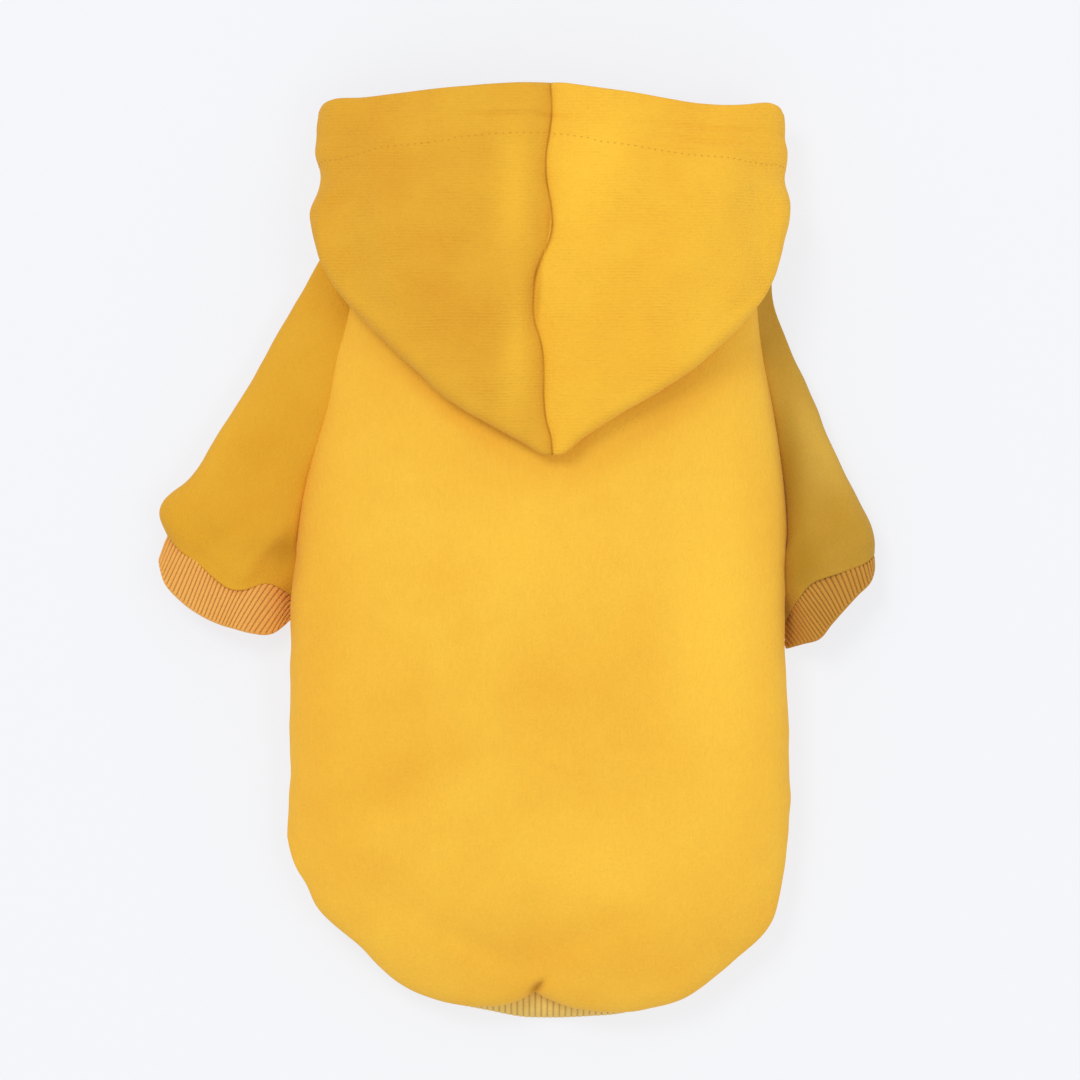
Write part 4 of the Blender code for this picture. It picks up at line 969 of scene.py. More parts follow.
def sleeve_rows(side, angles):
    """Rows across the sleeve from the neck to the cuff. Each runs from the inner edge over the top to the
    outer fold, and back below."""
    knots = np.linspace(0, UNDERARM, RAGLAN_STEPS + 1)
    back = back_surface(side * np.ones_like(knots), knots / TAIL_START)
    front = belly_edge(side, knots)
    back[:, 0] -= side * SEAM_OVERLAP
    front[:, 0] -= side * SEAM_OVERLAP
    cuff = cuff_loop(side, 0.0, angles)
    cuff_fold = cuff_loop(side, 0.0, np.array([0.0, math.pi]))
    under = np.array([back[-1, 0], back[-1, 1], SLEEVE_FOLD_HEIGHT])
    neck = neck_side(side, 0.5)
    raglan_length = np.linalg.norm(back[-1, :2] - back[0, :2])
    below_length = np.linalg.norm(cuff_fold[1, :2] - under[:2])
    raglan_share = raglan_length / (raglan_length + below_length)
    ahead = (cuff_fold[0, :2] - neck[:2]) / np.linalg.norm(cuff_fold[0, :2] - neck[:2])
    outward = np.array([-ahead[1], ahead[0]]) * side
    round_share = (1 - np.cos(angles)) / 2
    even_share = (round_share + np.abs(angles) / np.abs(angles[0])) / 2
    top = np.sin(angles) > -TINY
    rows = []
    stations = [(i, k / UNDERARM * raglan_share) for i, k in enumerate(knots)]
    stations += [(None, raglan_share + (1 - raglan_share) * f) for f in BELOW_UNDERARM[1:]]
    for i, down in stations:
        if i is None:
            closed = (down - raglan_share) / (1 - raglan_share)
            inner = under + (cuff_fold[1] - under) * closed
            inner[0] -= side * UNDER_BODY_REACH * math.sin(math.pi * min(closed, 1.0))
            high = back[-1, 2] + (SLEEVE_FOLD_HEIGHT - back[-1, 2]) * closed
            low = SLEEVE_FOLD_HEIGHT * closed
        else:
            closed = 0.0
            inner = back[i]
            high = back[i, 2]
            low = 0.0
        outer = neck + (cuff_fold[0] - neck) * down
        outer[:2] += outward * read(SIDES[side].sleeve_edge, "out", down) * CUFF_WIDTH
        fold = neck[2] + (SLEEVE_FOLD_HEIGHT - neck[2]) * smoothstep(down, 0, SLEEVE_FOLD_LEVEL)
        width = np.linalg.norm(inner[:2] - outer[:2])
        crown = min(SLEEVE_HEIGHT, fold + SLEEVE_SWELL * width / 2) - fold
        crown += (CUFF_HEIGHT - SLEEVE_FOLD_HEIGHT - crown) * closed**2
        share = even_share + (round_share - even_share) * closed**2
        rise = 2 * np.sqrt(np.clip(share * (1 - share), 0, 1))
        rise = rise ** np.where(share > 0.5, 2 - closed, 1)
        row = np.zeros((len(angles), 3))
        row[:, :2] = outer[:2] + (inner[:2] - outer[:2]) * share[:, None]
        upper = fold + crown * rise + (high - fold) * share**2
        lower = np.maximum(fold - fold * rise + (low - fold) * share**2, 0.0)
        row[:, 2] = np.where(top, upper, lower)
        if i is not None:
            edge = share**RAGLAN_EDGE_POWER
            inner_x = np.where(top, back[i, 0], front[i, 0])
            row[:, 0] += (inner_x - inner[0]) * edge
        chord = cuff_fold[0] + (cuff_fold[1] - cuff_fold[0]) * share[:, None]
        row[:, :2] += (cuff - chord)[:, :2] * smoothstep(down, SLEEVE_END_START, 1.0)
        row[:, 2] += (cuff[:, 2] - row[:, 2]) * closed**2
        rows.append(row)
    rows[0] = np.array([neck_side(side, f) for f in np.linspace(0, 1, len(angles))])
    rows[0][:, 1] += SEAM_OVERLAP
    rows[0][:, 0] -= side * SEAM_OVERLAP
    return rows


def neckline(side, around):
    """A point of the neckline, round from the middle of the back to the throat."""
    if around <= NECK_BACK_SHARE:
        return back_surface(side * around / NECK_BACK_SHARE, 0.0)
    if around <= NECK_SIDE_SHARE:
        return neck_side(side, (around - NECK_BACK_SHARE) / (NECK_SIDE_SHARE - NECK_BACK_SHARE))
    f = (around - NECK_SIDE_SHARE) / (1 - NECK_SIDE_SHARE)
    point = belly_edge(side, 0.0)
    point[0] *= 1 - f
    point[1] -= THROAT_DROP * (1 - (1 - f) ** 2)
    return point


def hood_place(across, along, side):
    """A place of the laid-back hood seen from above."""
    x = HOOD_OFFSET + side * across * HOOD_HALF_WIDTH
    y = HOOD_RIM_FROM_NECK - (1 - along) * HOOD_LENGTH
    return np.array([x, y])


def above_back(x):
    """Clearance of the hood's lower layer over the back, wider over the shoulders, where the back curves
    down."""
    return HOOD_ABOVE_BACK * (1 + SHOULDER_CLEARANCE * min(abs(x) / HALF_WIDTH, 1) ** 2)


def through(points, places, at):
    """A smooth curve through points that stand at the given places."""
    points = np.array(points)
    slopes = np.gradient(points, places, axis=0)
    i = min(int(np.searchsorted(places, at, side="right")) - 1, len(places) - 2)
    step = places[i + 1] - places[i]
    return hermite((at - places[i]) / step, step, points[i], points[i + 1], slopes[i], slopes[i + 1])


def folded_path(side, around, start, fold, outward, rim, height, half, puff):
    """The hood where it lies on the back: down over the back, round the fold and up to the rim."""
    middle = fold[:2] - outward * half
    if around <= NECK_BACK_SHARE:
        height = max(height, support_height(*middle) + above_back(middle[0]) + half)
    points = [start]
    for f in HOOD_LOWER:
        x, y = start[:2] + (middle - start[:2]) * f
        points.append(np.array([x, y, support_height(x, y) + above_back(x)]))
    for angle in np.radians(HOOD_ROLL):
        x, y = middle + outward * half * math.cos(angle)
        points.append(np.array([x, y, height + half * math.sin(angle)]))
    top = points[-1]
    hem = HEM_DEPTH / np.linalg.norm(rim[:2] - top[:2])
    for f in [f * (1 - hem) for f in HOOD_UPPER] + [1 - hem * f for f in HOOD_HEM]:
        point = top + (rim - top) * f
        point[2] += puff * math.sin(math.pi * f)
        points.append(point)
    return np.array(points)


def open_path(start, fold, rim, level, bulge):
    """The hood where it stands open at the sides and the throat: out from the neck, level at first or not,
    and on to the rim."""
    first = np.linalg.norm(fold - start)
    second = np.linalg.norm(rim - fold)
    hem = HEM_DEPTH / (first + second)
    bend = min(first / (first + second), (1 - hem) * HIGHEST_BEND)
    fold_row = 1 + len(HOOD_LOWER) + len(HOOD_ROLL) // 2
    between = len(HOOD_ROLL) // 2 + len(HOOD_UPPER)
    places = list(np.linspace(0, bend, fold_row + 1))
    places += list(np.linspace(bend, 1 - hem, between + 2)[1:-1])
    places += [1 - hem * f for f in HOOD_HEM]
    points = []
    for place in places:
        point = through((start, fold, rim), (0.0, bend, 1.0), place)
        if place < bend:
            eased = start[2] + (fold[2] - start[2]) * float(smoothstep(place, 0, bend))
            point[2] += (eased - point[2]) * level
            point[1] += bulge * math.sin(math.pi * place / bend)
        points.append(point)
    return np.array(points)


def hood_path(side, around):
    """Points of the hood from the neckline to its rim, at one station round it."""

    def get(column, at=around):
        return float(read(SIDES[side].hood, column, at))

    def place(part, at=around):
        return hood_place(get(part + "_across", at), get(part + "_along", at), side)

    def eased(start, end):
        return float(smoothstep(around, start, end))

    near_corner = eased(NECK_BACK_SHARE - CORNER_BEFORE, NECK_BACK_SHARE)
    near_corner *= 1 - eased(NECK_SIDE_SHARE + CORNER_HOLD, NECK_SIDE_SHARE + CORNER_AFTER)
    start = neckline(side, around)
    start[1] += NECK_CORNER_GAP * near_corner - SEAM_OVERLAP
    height = get("fold_height") * HOOD_HEIGHT
    fold = np.array([*place("fold"), height])
    rim = np.array([*place("rim"), get("rim_height") * HOOD_HEIGHT])
    ahead = place("fold", around + TANGENT_STEP) - place("fold", around - TANGENT_STEP)
    tangent = ahead / np.linalg.norm(ahead)
    outward = np.array([tangent[1], -tangent[0]]) * side
    if around == 0:
        outward = np.array([0.0, -1.0])
    opened = eased(NECK_BACK_SHARE - OPEN_BEFORE, NECK_BACK_SHARE + OPEN_AFTER)
    level = eased(NECK_SIDE_SHARE - LEVEL_BEFORE, NECK_SIDE_SHARE)
    points = open_path(start, fold, rim, level, SHOULDER_BULGE * near_corner) * opened
    if opened < 1:
        half, puff = get("half") * HOOD_HEIGHT, get("puff") * HOOD_HEIGHT
        points += folded_path(side, around, start, fold, outward, rim, height, half, puff) * (1 - opened)

    points[:, 2] = np.maximum(points[:, 2], 0.0)
    first_upper = 1 + len(HOOD_LOWER) + len(HOOD_ROLL) // 2
    near_edge = eased(*DENT_GROWS) * (1 - eased(*DENT_FADES))
    for i in range(first_upper, len(points)):
        x, y, z = points[i]
        along = 1 - (HOOD_RIM_FROM_NECK - y) / HOOD_LENGTH
        if around < NECK_SIDE_SHARE:
            settled = float(smoothstep(i, first_upper, first_upper + SEAM_GROOVE_ROWS))
            z -= SEAM_GROOVE_DEPTH * hump(x, HOOD_OFFSET, SEAM_GROOVE_WIDTH) * settled
            shift = float(read(SEAM_WANDER, "shift", along))
            x += HOOD_HALF_WIDTH * shift * math.exp(-abs(x - HOOD_OFFSET) / SEAM_WANDER_REACH)
        for dent in SIDE_DENTS:
            if dent.side == side:
                nearness = near_edge * hump(along, dent.along, dent.span)
                x -= side * dent.depth * HOOD_HALF_WIDTH * nearness
        points[i] = (x, y, max(z, 0.0))
    return points


def part_place():
    """Where the part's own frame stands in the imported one."""
    band_low, band_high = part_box("waistband_belly")
    belly_low, belly_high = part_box("belly_panel")
    return Vector(((band_low[0] + band_high[0]) / 2, belly_high[1], belly_low[2]))


def settings():
    """What is set for the hoodie in this scene."""
    return bpy.context.scene.dog_hoodie


def ripple(points):
    """How deep the cloth's unevenness presses in at each point. The waves are the same on every piece."""
    rng = np.random.default_rng(RIPPLE_SEED)
    turn = rng.uniform(0, 2 * math.pi, RIPPLE_WAVES)
    tilt = rng.uniform(-RIPPLE_TILT, RIPPLE_TILT, RIPPLE_WAVES)
    length = np.geomspace(RIPPLE_SHORTEST, RIPPLE_LONGEST, RIPPLE_WAVES)
    phase = rng.uniform(0, 2 * math.pi, RIPPLE_WAVES)
    ways = np.stack([np.cos(turn), np.sin(turn), tilt], axis=-1) * (2 * math.pi / length)[:, None]
    waves = np.sin(points @ ways.T + phase) * (length / RIPPLE_LONGEST)
    return waves.sum(axis=1) / math.sqrt(RIPPLE_WAVES) * RIPPLE_DEPTH


def fold_depth(panel, points):
    """How deep the panel's folds press in at each point."""
    depth = np.zeros(len(points))
    for fold in FOLDS:
        if fold.panel != panel:
            continue
        angle = math.radians(fold.angle)
        x, y = points[:, 0] - fold.x, points[:, 1] - fold.y
        run = (x * math.cos(angle) + y * math.sin(angle)) / fold.length
        side = (y * math.cos(angle) - x * math.sin(angle)) / fold.width
        depth += fold.depth * np.exp(-(run**2) - side**2)
    return depth * settings().fold_strength


def smoothed(mesh):
    """A finely subdivided copy of a panel's cage, as a mesh with its named point values."""
    data = bpy.data.meshes.new("cage")
    mesh.to_mesh(data)
    mesh.free()
    cage = bpy.data.objects.new("cage", data)
    bpy.context.scene.collection.objects.link(cage)
    smooth = cage.modifiers.new("smooth", "SUBSURF")
    smooth.levels = SUBDIVISIONS
    smooth.render_levels = SUBDIVISIONS
    seen = bpy.context.evaluated_depsgraph_get()
    fine = bpy.data.meshes.new_from_object(cage.evaluated_get(seen))
    bpy.data.objects.remove(cage)
    bpy.data.meshes.remove(data)
    return fine


def read_points(source, key):
    """The places or the directions of a mesh's points, as rows of three."""
    values = np.zeros(len(source) * 3)
    source.foreach_get(key, values)
    return values.reshape(-1, 3)


def read_value(data, name, missing):
    """A named number at each point of a mesh."""
    if name not in data.attributes:
        return np.full(len(data.vertices), missing)
    values = np.zeros(len(data.vertices))
    data.attributes[name].data.foreach_get("value", values)
    return values


def add_value(data, name, values):
    """Gives each point of a mesh a named number."""
    data.attributes.new(name, "FLOAT", "POINT").data.foreach_set("value", values)


def quads_of(data):
    """The corners of a mesh's quads, as rows of four."""
    corners = np.zeros(len(data.loops), dtype=int)
    data.loops.foreach_get("vertex_index", corners)
    return corners.reshape(-1, 4)


def grid_quads(place):
    """Quads between the rows and columns of numbered points, as rows of four."""
    corners = [place[:-1, :-1], place[1:, :-1], place[1:, 1:], place[:-1, 1:]]
    return np.stack(corners, axis=-1).reshape(-1, 4)


def open_edges(quads):
    """Directed edges of quads that no other quad shares."""
    starts = quads.ravel()
    ends = np.roll(quads, -1, axis=1).ravel()
    count = int(quads.max()) + 1
    forward = starts * count + ends
    backward = ends * count + starts
    alone = ~np.isin(forward, backward)
    return np.stack([starts[alone], ends[alone]], axis=-1)


def shell(name, outer, normals, quads, wall, free, values):
    """A closed sheet of cloth: the outer face, the inner one a wall below it, and edges between them,
    round where they are free. Values are named numbers for each point of the outer face."""
    edges = open_edges(quads)
    count = len(outer)
    inner = outer - normals * wall[:, None]
    follows = dict(edges.tolist())
    leads = {end: start for start, end in follows.items()}
    rim = sorted(follows)
    ahead = outer[[follows[i] for i in rim]] - outer[[leads.get(i, i) for i in rim]]
    away = np.cross(ahead, normals[rim])
    away /= np.maximum(np.linalg.norm(away, axis=1, keepdims=True), TINY)
    half = (wall[rim] / 2)[:, None]
    rings = []
    for step in range(1, EDGE_STEPS + 1):
        angle = math.pi * step / (EDGE_STEPS + 1)
        bulge = away * math.sin(angle) * free[rim][:, None]
        rings.append(outer[rim] - normals[rim] * half * (1 - math.cos(angle)) + bulge * half)
    points = np.concatenate([outer, inner, *rings])
    at = {vertex: k for k, vertex in enumerate(rim)}
    ring_start = [2 * count + k * len(rim) for k in range(EDGE_STEPS)]
    first = np.array([at[a] for a, b in edges])
    second = np.array([at[b] for a, b in edges])
    levels = [edges, *[np.stack([first, second], axis=-1) + start for start in ring_start], edges + count]
    faces = [quads, quads[:, ::-1] + count]
    for above, below in zip(levels, levels[1:]):
        faces.append(np.stack([above[:, 1], above[:, 0], below[:, 0], below[:, 1]], axis=-1))
    data = bpy.data.meshes.new(name)
    data.from_pydata(points.tolist(), [], np.concatenate(faces).tolist())
    total = len(points)
    sewn = np.sort(edges[free[edges].min(axis=1) < 0.5], axis=1)
    pairs = np.zeros(len(data.edges) * 2, dtype=int)
    data.edges.foreach_get("vertices", pairs)
    pairs = np.sort(pairs.reshape(-1, 2), axis=1)
    sharp = np.isin(pairs[:, 0] * total + pairs[:, 1], sewn[:, 0] * total + sewn[:, 1])
    data.attributes.new("sharp_edge", "BOOLEAN", "EDGE").data.foreach_set("value", sharp)
    for key, value in values.items():
        add_value(data, key, np.concatenate([value, value, *[value[rim]] * EDGE_STEPS]))
    data.shade_smooth()
    return data


def placed(name, data, material):
    """An object for a finished mesh, moved from the part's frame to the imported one."""
    data.transform(Matrix.Translation(part_place()))
    data.materials.clear()
    data.materials.append(material)
    made = bpy.data.objects.new(name, data)
    bpy.context.scene.collection.objects.link(made)
    return made


def declare(made, panel):
    """Attaches the cloth to the root, and hides the part's node that it stands for."""
    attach(made, "root")
    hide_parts(panel)


def layer_values(mesh, name, values):
    """Stores a number at each vertex of a cage, in the order in which they were made."""
    layer = mesh.verts.layers.float.new(name)
    for vert, value in zip(mesh.verts, values):
        vert[layer] = float(value)


def from_edge(points, quads, free):
    """How far each point is from the nearest sewn edge."""
    sewn = [i for i in np.unique(open_edges(quads)) if free[i] < 0.5]
    tree = KDTree(len(sewn))
    for i in sewn:
        tree.insert(points[i], int(i))
    tree.balance()
    return np.array([tree.find(point)[2] for point in points])


def dressed_panel(name, fine, wall, press, material, marks=None):
    """Presses the folds and the unevenness into a smoothed panel, and gives it its wall. The press acts
    straight down, so that sewn edges stay side by side."""
    outer = read_points(fine.vertices, "co")
    normals = read_points(fine.vertex_normals, "vector")
    quads = quads_of(fine)
    free = read_value(fine, "free", 0.0)
    upper = smoothstep(normals[:, 2], 0.0, LOOKS_UP)
    loose = smoothstep(from_edge(outer, quads, free), 0.0, SEWN_REACH)
    uneven = smoothstep(outer[:, 2], STILL_BELOW, LOOSE_ABOVE)
    depth = fold_depth(name, outer) * upper + ripple(outer) * uneven
    pressed = press(outer, fine) * upper
    outer = outer - normals * (depth * loose)[:, None]
    outer[:, 2] = np.maximum(outer[:, 2] - pressed, 0.0)
    walls = read_value(fine, "wall", wall)
    values = marks(outer) if marks else {}
    data = shell(name, outer, normals, quads, walls, free, values)
    bpy.data.meshes.remove(fine)
    return placed(name + "_cloth", data, material)


def no_press(points, fine):
    """Leaves a panel as it is."""
    return np.zeros(len(points))


def from_seam(points):
    """For each point of the hood: how far along it is, from the hood's point to its rim, and how far it
    stands to the right of the centre seam."""
    along = 1 - (HOOD_RIM_FROM_NECK - points[:, 1]) / HOOD_LENGTH
    middle = HOOD_OFFSET + HOOD_HALF_WIDTH * read(SEAM_WANDER, "shift", along)
    return along, points[:, 0] - middle


def press_hood(points, fine):
    """The centre seam's curl and lap, and the hem's crease and stitch line."""
    from_rim = read_value(fine, "from_rim", 1.0)
    along, away = from_seam(points)
    curl = SEAM_CURL_DEPTH * hump(away, 0.0, SEAM_CURL_WIDTH)
    crease = HEM_CREASE_DEPTH * hump(from_rim, HEM_CREASE_FROM_RIM, HEM_CREASE_WIDTH)
    stitches = HEM_STITCH_DEPTH * hump(from_rim, HEM_STITCHES_FROM_RIM, HEM_STITCH_WIDTH)
    lap = SEAM_LAP_HEIGHT * hump(along, SEAM_LAP_ALONG, SEAM_LAP_SPAN) * hump(away, 0.0, SEAM_LAP_WIDTH)
    return curl + crease + stitches - lap * smoothstep(away, 0.0, SEAM_CURL_WIDTH)


def seam_line(points):
    """How strongly the shade of the centre seam falls on each point of the hood."""
    _, away = from_seam(points)
    return {"seam": hump(away, 0.0, SEAM_LINE_REACH)}


def press_sleeve(points, fine):
    """The puff of the sleeve's end over the cuff."""
    from_end = read_value(fine, "from_end", 1.0)
    return -PUFF_HEIGHT * hump(from_end, PUFF_FROM_END, PUFF_SPAN)


def build_back(material):
    """The back: a domed sheet whose sides and tail roll under to the seams."""
    rows = rows_of_back()
    columns = columns_of_back()
    grid = back_surface(columns[None, :], rows[:, None])
    mesh, verts = grid_mesh(grid)
    left = [verts[i][0] for i in range(RAGLAN_STEPS, len(rows))]
    right = [verts[i][-1] for i in range(RAGLAN_STEPS, len(rows))]
    edge = left + verts[-1][1:-1] + right[::-1]
    outline = np.array([vert.co[:] for vert in edge])
    along = rows[RAGLAN_STEPS:] * TAIL_START
    middle = columns[1:-1]
    inward = np.concatenate([side_inset(along), tail_inset(middle), side_inset(along)[::-1]])
    low = np.concatenate([side_seam_height(along), tail_seam_height(middle), side_seam_height(along)[::-1]])
    add_strip(mesh, edge, turned_edge(outline, inward, low, TURN_STEPS))
    declare(dressed_panel("back_panel", smoothed(mesh), FLEECE, no_press, material), "back_panel")


def build_belly(material):
    """The belly: a flat sheet."""
    half = np.array(THROAT_ACROSS + (1.0,))
    columns = np.unique(np.concatenate([-half, half]))
    grid = []
    for along in rows_of_back() * TAIL_START:
        row = []
        for across in columns:
            edge = belly_edge(-1 if across < 0 else 1, along)
            dip = THROAT_DROP * (1 - across**2) * (1 - smoothstep(along, 0, UNDERARM))
            row.append((edge[0] * abs(across), edge[1] - dip, 0.0))
        grid.append(row[::-1])
    mesh, _ = grid_mesh(np.array(grid))
    declare(dressed_panel("belly_panel", smoothed(mesh), FLEECE, no_press, material), "belly_panel")


def build_sleeve(side, material):
    """A sleeve: open along the raglan seams, closed to a tube from the underarm to the cuff."""
    name = "sleeve_" + SIDES[side].name
    half = math.pi * (1 - 1 / SLEEVE_COLUMNS)
    angles = half * np.linspace(1, -1, SLEEVE_COLUMNS + 1)
    rows = sleeve_rows(side, angles)
    grid = np.array(rows)
    mesh, verts = grid_mesh(grid if side > 0 else grid[:, ::-1])
    inner = []
    for row, points in zip(verts[RAGLAN_STEPS:], rows[RAGLAN_STEPS:]):
        middle = (points[0] + points[-1]) / 2
        gap = np.linalg.norm(points[0] - points[-1])
        across = points[0, :2] - points[SLEEVE_COLUMNS // 2, :2]
        round_out = UNDERARM_ROUNDNESS * gap * smoothstep(len(inner), 0, len(BELOW_UNDERARM) - 1)
        middle[:2] += across / np.linalg.norm(across) * round_out
        inner.append(mesh.verts.new(middle))
    for i in range(len(inner) - 1):
        above, below = verts[RAGLAN_STEPS + i], verts[RAGLAN_STEPS + i + 1]
        mesh.faces.new((above[-1], below[-1], inner[i + 1], inner[i]))
        mesh.faces.new((inner[i], inner[i + 1], below[0], above[0]))
    inner_end = np.array(inner[-1].co)
    walls = np.full(len(mesh.verts), FLEECE)
    walls[(len(grid) - 1) * len(angles) : len(grid) * len(angles)] = SLEEVE_END_WALL
    walls[-1] = SLEEVE_END_WALL
    layer_values(mesh, "wall", walls)
    last = np.append(grid[-1], [inner_end], axis=0)
    ends = np.array([np.linalg.norm(last - np.array(vert.co), axis=1).min() for vert in mesh.verts])
    layer_values(mesh, "from_end", ends)
    layer_values(mesh, "free", ends < TOUCHING)
    declare(dressed_panel(name, smoothed(mesh), FLEECE, press_sleeve, material), name)


def build_hood(side, cloth, thread):
    """One half of the hood, with the stitches of its hem."""
    name = "hood_" + SIDES[side].name
    back = [NECK_BACK_SHARE * across for across in HALF_ACROSS]
    throat = [NECK_SIDE_SHARE + (1 - NECK_SIDE_SHARE) * (1 - across) for across in THROAT_ACROSS]
    stations = (*back, *HOOD_SIDE_SHARES, *throat)
    grid = np.array([hood_path(side, around) for around in stations])
    grid[[0, -1], :, 0] -= side * SEAM_OVERLAP
    steps = np.linalg.norm(np.diff(grid, axis=1), axis=2)
    from_rim = np.concatenate([np.cumsum(steps[:, ::-1], axis=1)[:, ::-1], np.zeros((len(grid), 1))], axis=1)
    grid, from_rim = grid.transpose(1, 0, 2), from_rim.T
    if side > 0:
        grid, from_rim = grid[:, ::-1], from_rim[:, ::-1]
    mesh, _ = grid_mesh(grid)
    rows, columns = from_rim.shape
    hem_start = rows - len(HOOD_HEM)
    layer_values(mesh, "from_rim", from_rim.ravel())
    layer_values(mesh, "wall", np.repeat(np.where(np.arange(rows) >= hem_start, HEM_CLOTH, FLEECE), columns))
    layer_values(mesh, "free", np.repeat(np.arange(rows) == rows - 1, columns))
    hood = dressed_panel(name, smoothed(mesh), FLEECE, press_hood, cloth, seam_line)
    place = part_place()
    path = [Vector(grid[hem_start, j]) + place for j in range(grid.shape[1])]
    stitches = stitch_row(name + "_stitches", hood, path, thread)
    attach(stitches, "root")
    declare(hood, name)


def stitch_row(name, cloth, path, thread):
    """A row of stitches laid on a cloth along a path."""
    sight = BVHTree.FromObject(cloth, bpy.context.evaluated_depsgraph_get())
    line = bpy.data.meshes.new(name)
    points = []
    for start, end in zip(path, path[1:]):
        for share in STITCH_SHARES:
            spot = start.lerp(end, share)
            found, normal, _, _ = sight.find_nearest(spot + Vector((0, 0, STITCH_SEARCH)))
            points.append(found + normal * STITCH_RISE)
    line.from_pydata([tuple(point) for point in points], [(i, i + 1) for i in range(len(points) - 1)], [])
    made = bpy.data.objects.new(name, line)
    bpy.context.scene.collection.objects.link(made)
    chosen = settings()
    values = {
        "Pitch": chosen.stitch_pitch,
        "Stitch Length": chosen.stitch_length,
        "Thread Radius": chosen.thread_radius,
        "Material": thread,
    }
    return grown(made, stitch_tree(), values)


def rib_cloth(name, outer, normals, quads, around, wall, free, material, relief=1.0):
    """A rib-knit piece: a smooth shell whose outer face the ribs then press into."""
    data = shell(name, outer, normals, quads, np.full(len(outer), wall), free, {"around": around})
    outside = np.zeros(len(data.vertices))
    outside[: len(outer)] = 1.0
    add_value(data, "outside", outside)
    made = placed(name, data, material)
    values = {"Rib Depth": settings().rib_depth * relief, "Material": material}
    return grown(made, rib_tree(), values)


def rib_angles(side, out):
    """Angles round the cuff at which the points of its ribs stand, at a share of the way from the seam."""
    turn = np.linspace(0, 1, FAN_STEPS + 1)
    angles = np.append(even_angles(side, FAN_STEPS), 2 * math.pi)
    share = (1 - np.cos(angles)) / 2
    level = np.where(angles <= math.pi, share / 2, 1 - share / 2)
    fold = int(np.searchsorted(angles, math.pi))
    table = SIDES[side].fan
    at_seam, at_end = read(table, "seam", share), read(table, "end", share)
    fan = at_seam + (at_end - at_seam) * min(max(out, 0.0), 1.0)
    below = np.maximum(turn - turn[fold], 0)
    fan = np.where(below > 0, fan[fold], fan) * hump(below, 0.0, FAN_FADE)
    around = (turn + (level - turn) * (1 + share) / 2) * CUFF_RIBS + fan
    return np.interp(np.arange(CUFF_RIBS * POINTS_A_RIB) / POINTS_A_RIB, around, angles)


def build_cuff(side, material):
    """A cuff: a tube of rib knit, open at its end."""
    name = "cuff_" + SIDES[side].name
    columns = CUFF_RIBS * POINTS_A_RIB
    away, ahead = cuff_axes(side)
    outs = np.linspace(TUCK_START, 1, CUFF_LOOPS)
    tuck = TUCK_DEPTH * (1 - smoothstep(outs, 0.0, TUCK_END))
    loops, normals = [], []
    for out, depth in zip(outs, tuck):
        angles = rib_angles(side, out)
        in_along, in_up = inward_of_tube(angles, CUFF_WIDTH / 2, SLEEVE_FOLD_HEIGHT)
        inward = np.stack([ahead[0] * in_along, ahead[1] * in_along, in_up], axis=-1)
        tucked = inward * np.array([TUCK_SIDE_SHARE, TUCK_SIDE_SHARE, 1.0])
        loops.append(cuff_loop(side, out, angles) + tucked * depth)
        normals.append(-inward)
    outer = np.array(loops).reshape(-1, 3)
    normals = np.array(normals).reshape(-1, 3)
    place = np.arange(CUFF_LOOPS * columns).reshape(CUFF_LOOPS, columns)
    quads = grid_quads(np.concatenate([place, place[:, :1]], axis=1))
    if side > 0:
        quads = quads[:, ::-1]
    around = np.tile(np.arange(columns) / POINTS_A_RIB, CUFF_LOOPS)
    free = np.repeat(np.arange(CUFF_LOOPS) == CUFF_LOOPS - 1, columns).astype(float)
    made = rib_cloth(name + "_cloth", outer, normals, quads, around, RIB_CLOTH, free, material)
    declare(made, name)


def band_normals(grid):
    """Outward directions of a grid of points."""
    down = np.gradient(grid, axis=0)
    across = np.gradient(grid, axis=1)
    normals = np.cross(down, across)
    return normals / np.maximum(np.linalg.norm(normals, axis=2, keepdims=True), TINY)


def build_waistband_back(material):
    """The waistband's back half: from the tail's seam it bends out and down to the floor."""
    across = band_columns()
    seam = back_surface(across, np.ones_like(across))
    end = back_surface(across, np.ones_like(across), pinched=0.0)
    seam[:, :2] -= outline_normals(end) * tail_inset(across)[:, None]
    seam[:, 2] = tail_seam_height(across) + SEAM_OVERLAP
    reach = read(BAND_REACH, "reach", across) * WAISTBAND_DEPTH - TAIL_TURN_UNDER
    end[:, :2] += outline_normals(end) * reach[:, None]
    start_y = 2 * SEAM_OVERLAP - TAIL_START * BODY_LENGTH
    loops = []
    for angle in np.linspace(0, math.pi / 2, BAND_LOOPS):
        row = seam + (end - seam) * math.sin(angle)
        row[:, 1] = np.minimum(row[:, 1], start_y)
        row[:, 2] = BAND_END_HEIGHT + (seam[:, 2] - BAND_END_HEIGHT) * math.cos(angle)
        loops.append(row)
    build_band("waistband_back", np.array(loops), material)


def band_columns():
    """Places across the tail hem that stand evenly along it, so many to a rib."""
    fine = np.linspace(-1, 1, OUTLINE_STEPS + 1)
    run = run_along(back_surface(fine, np.ones_like(fine), pinched=0.0))
    count = round(run[-1] / WAISTBAND_PITCH) * POINTS_A_RIB
    return np.interp(np.linspace(0, run[-1], count + 1), run, fine)


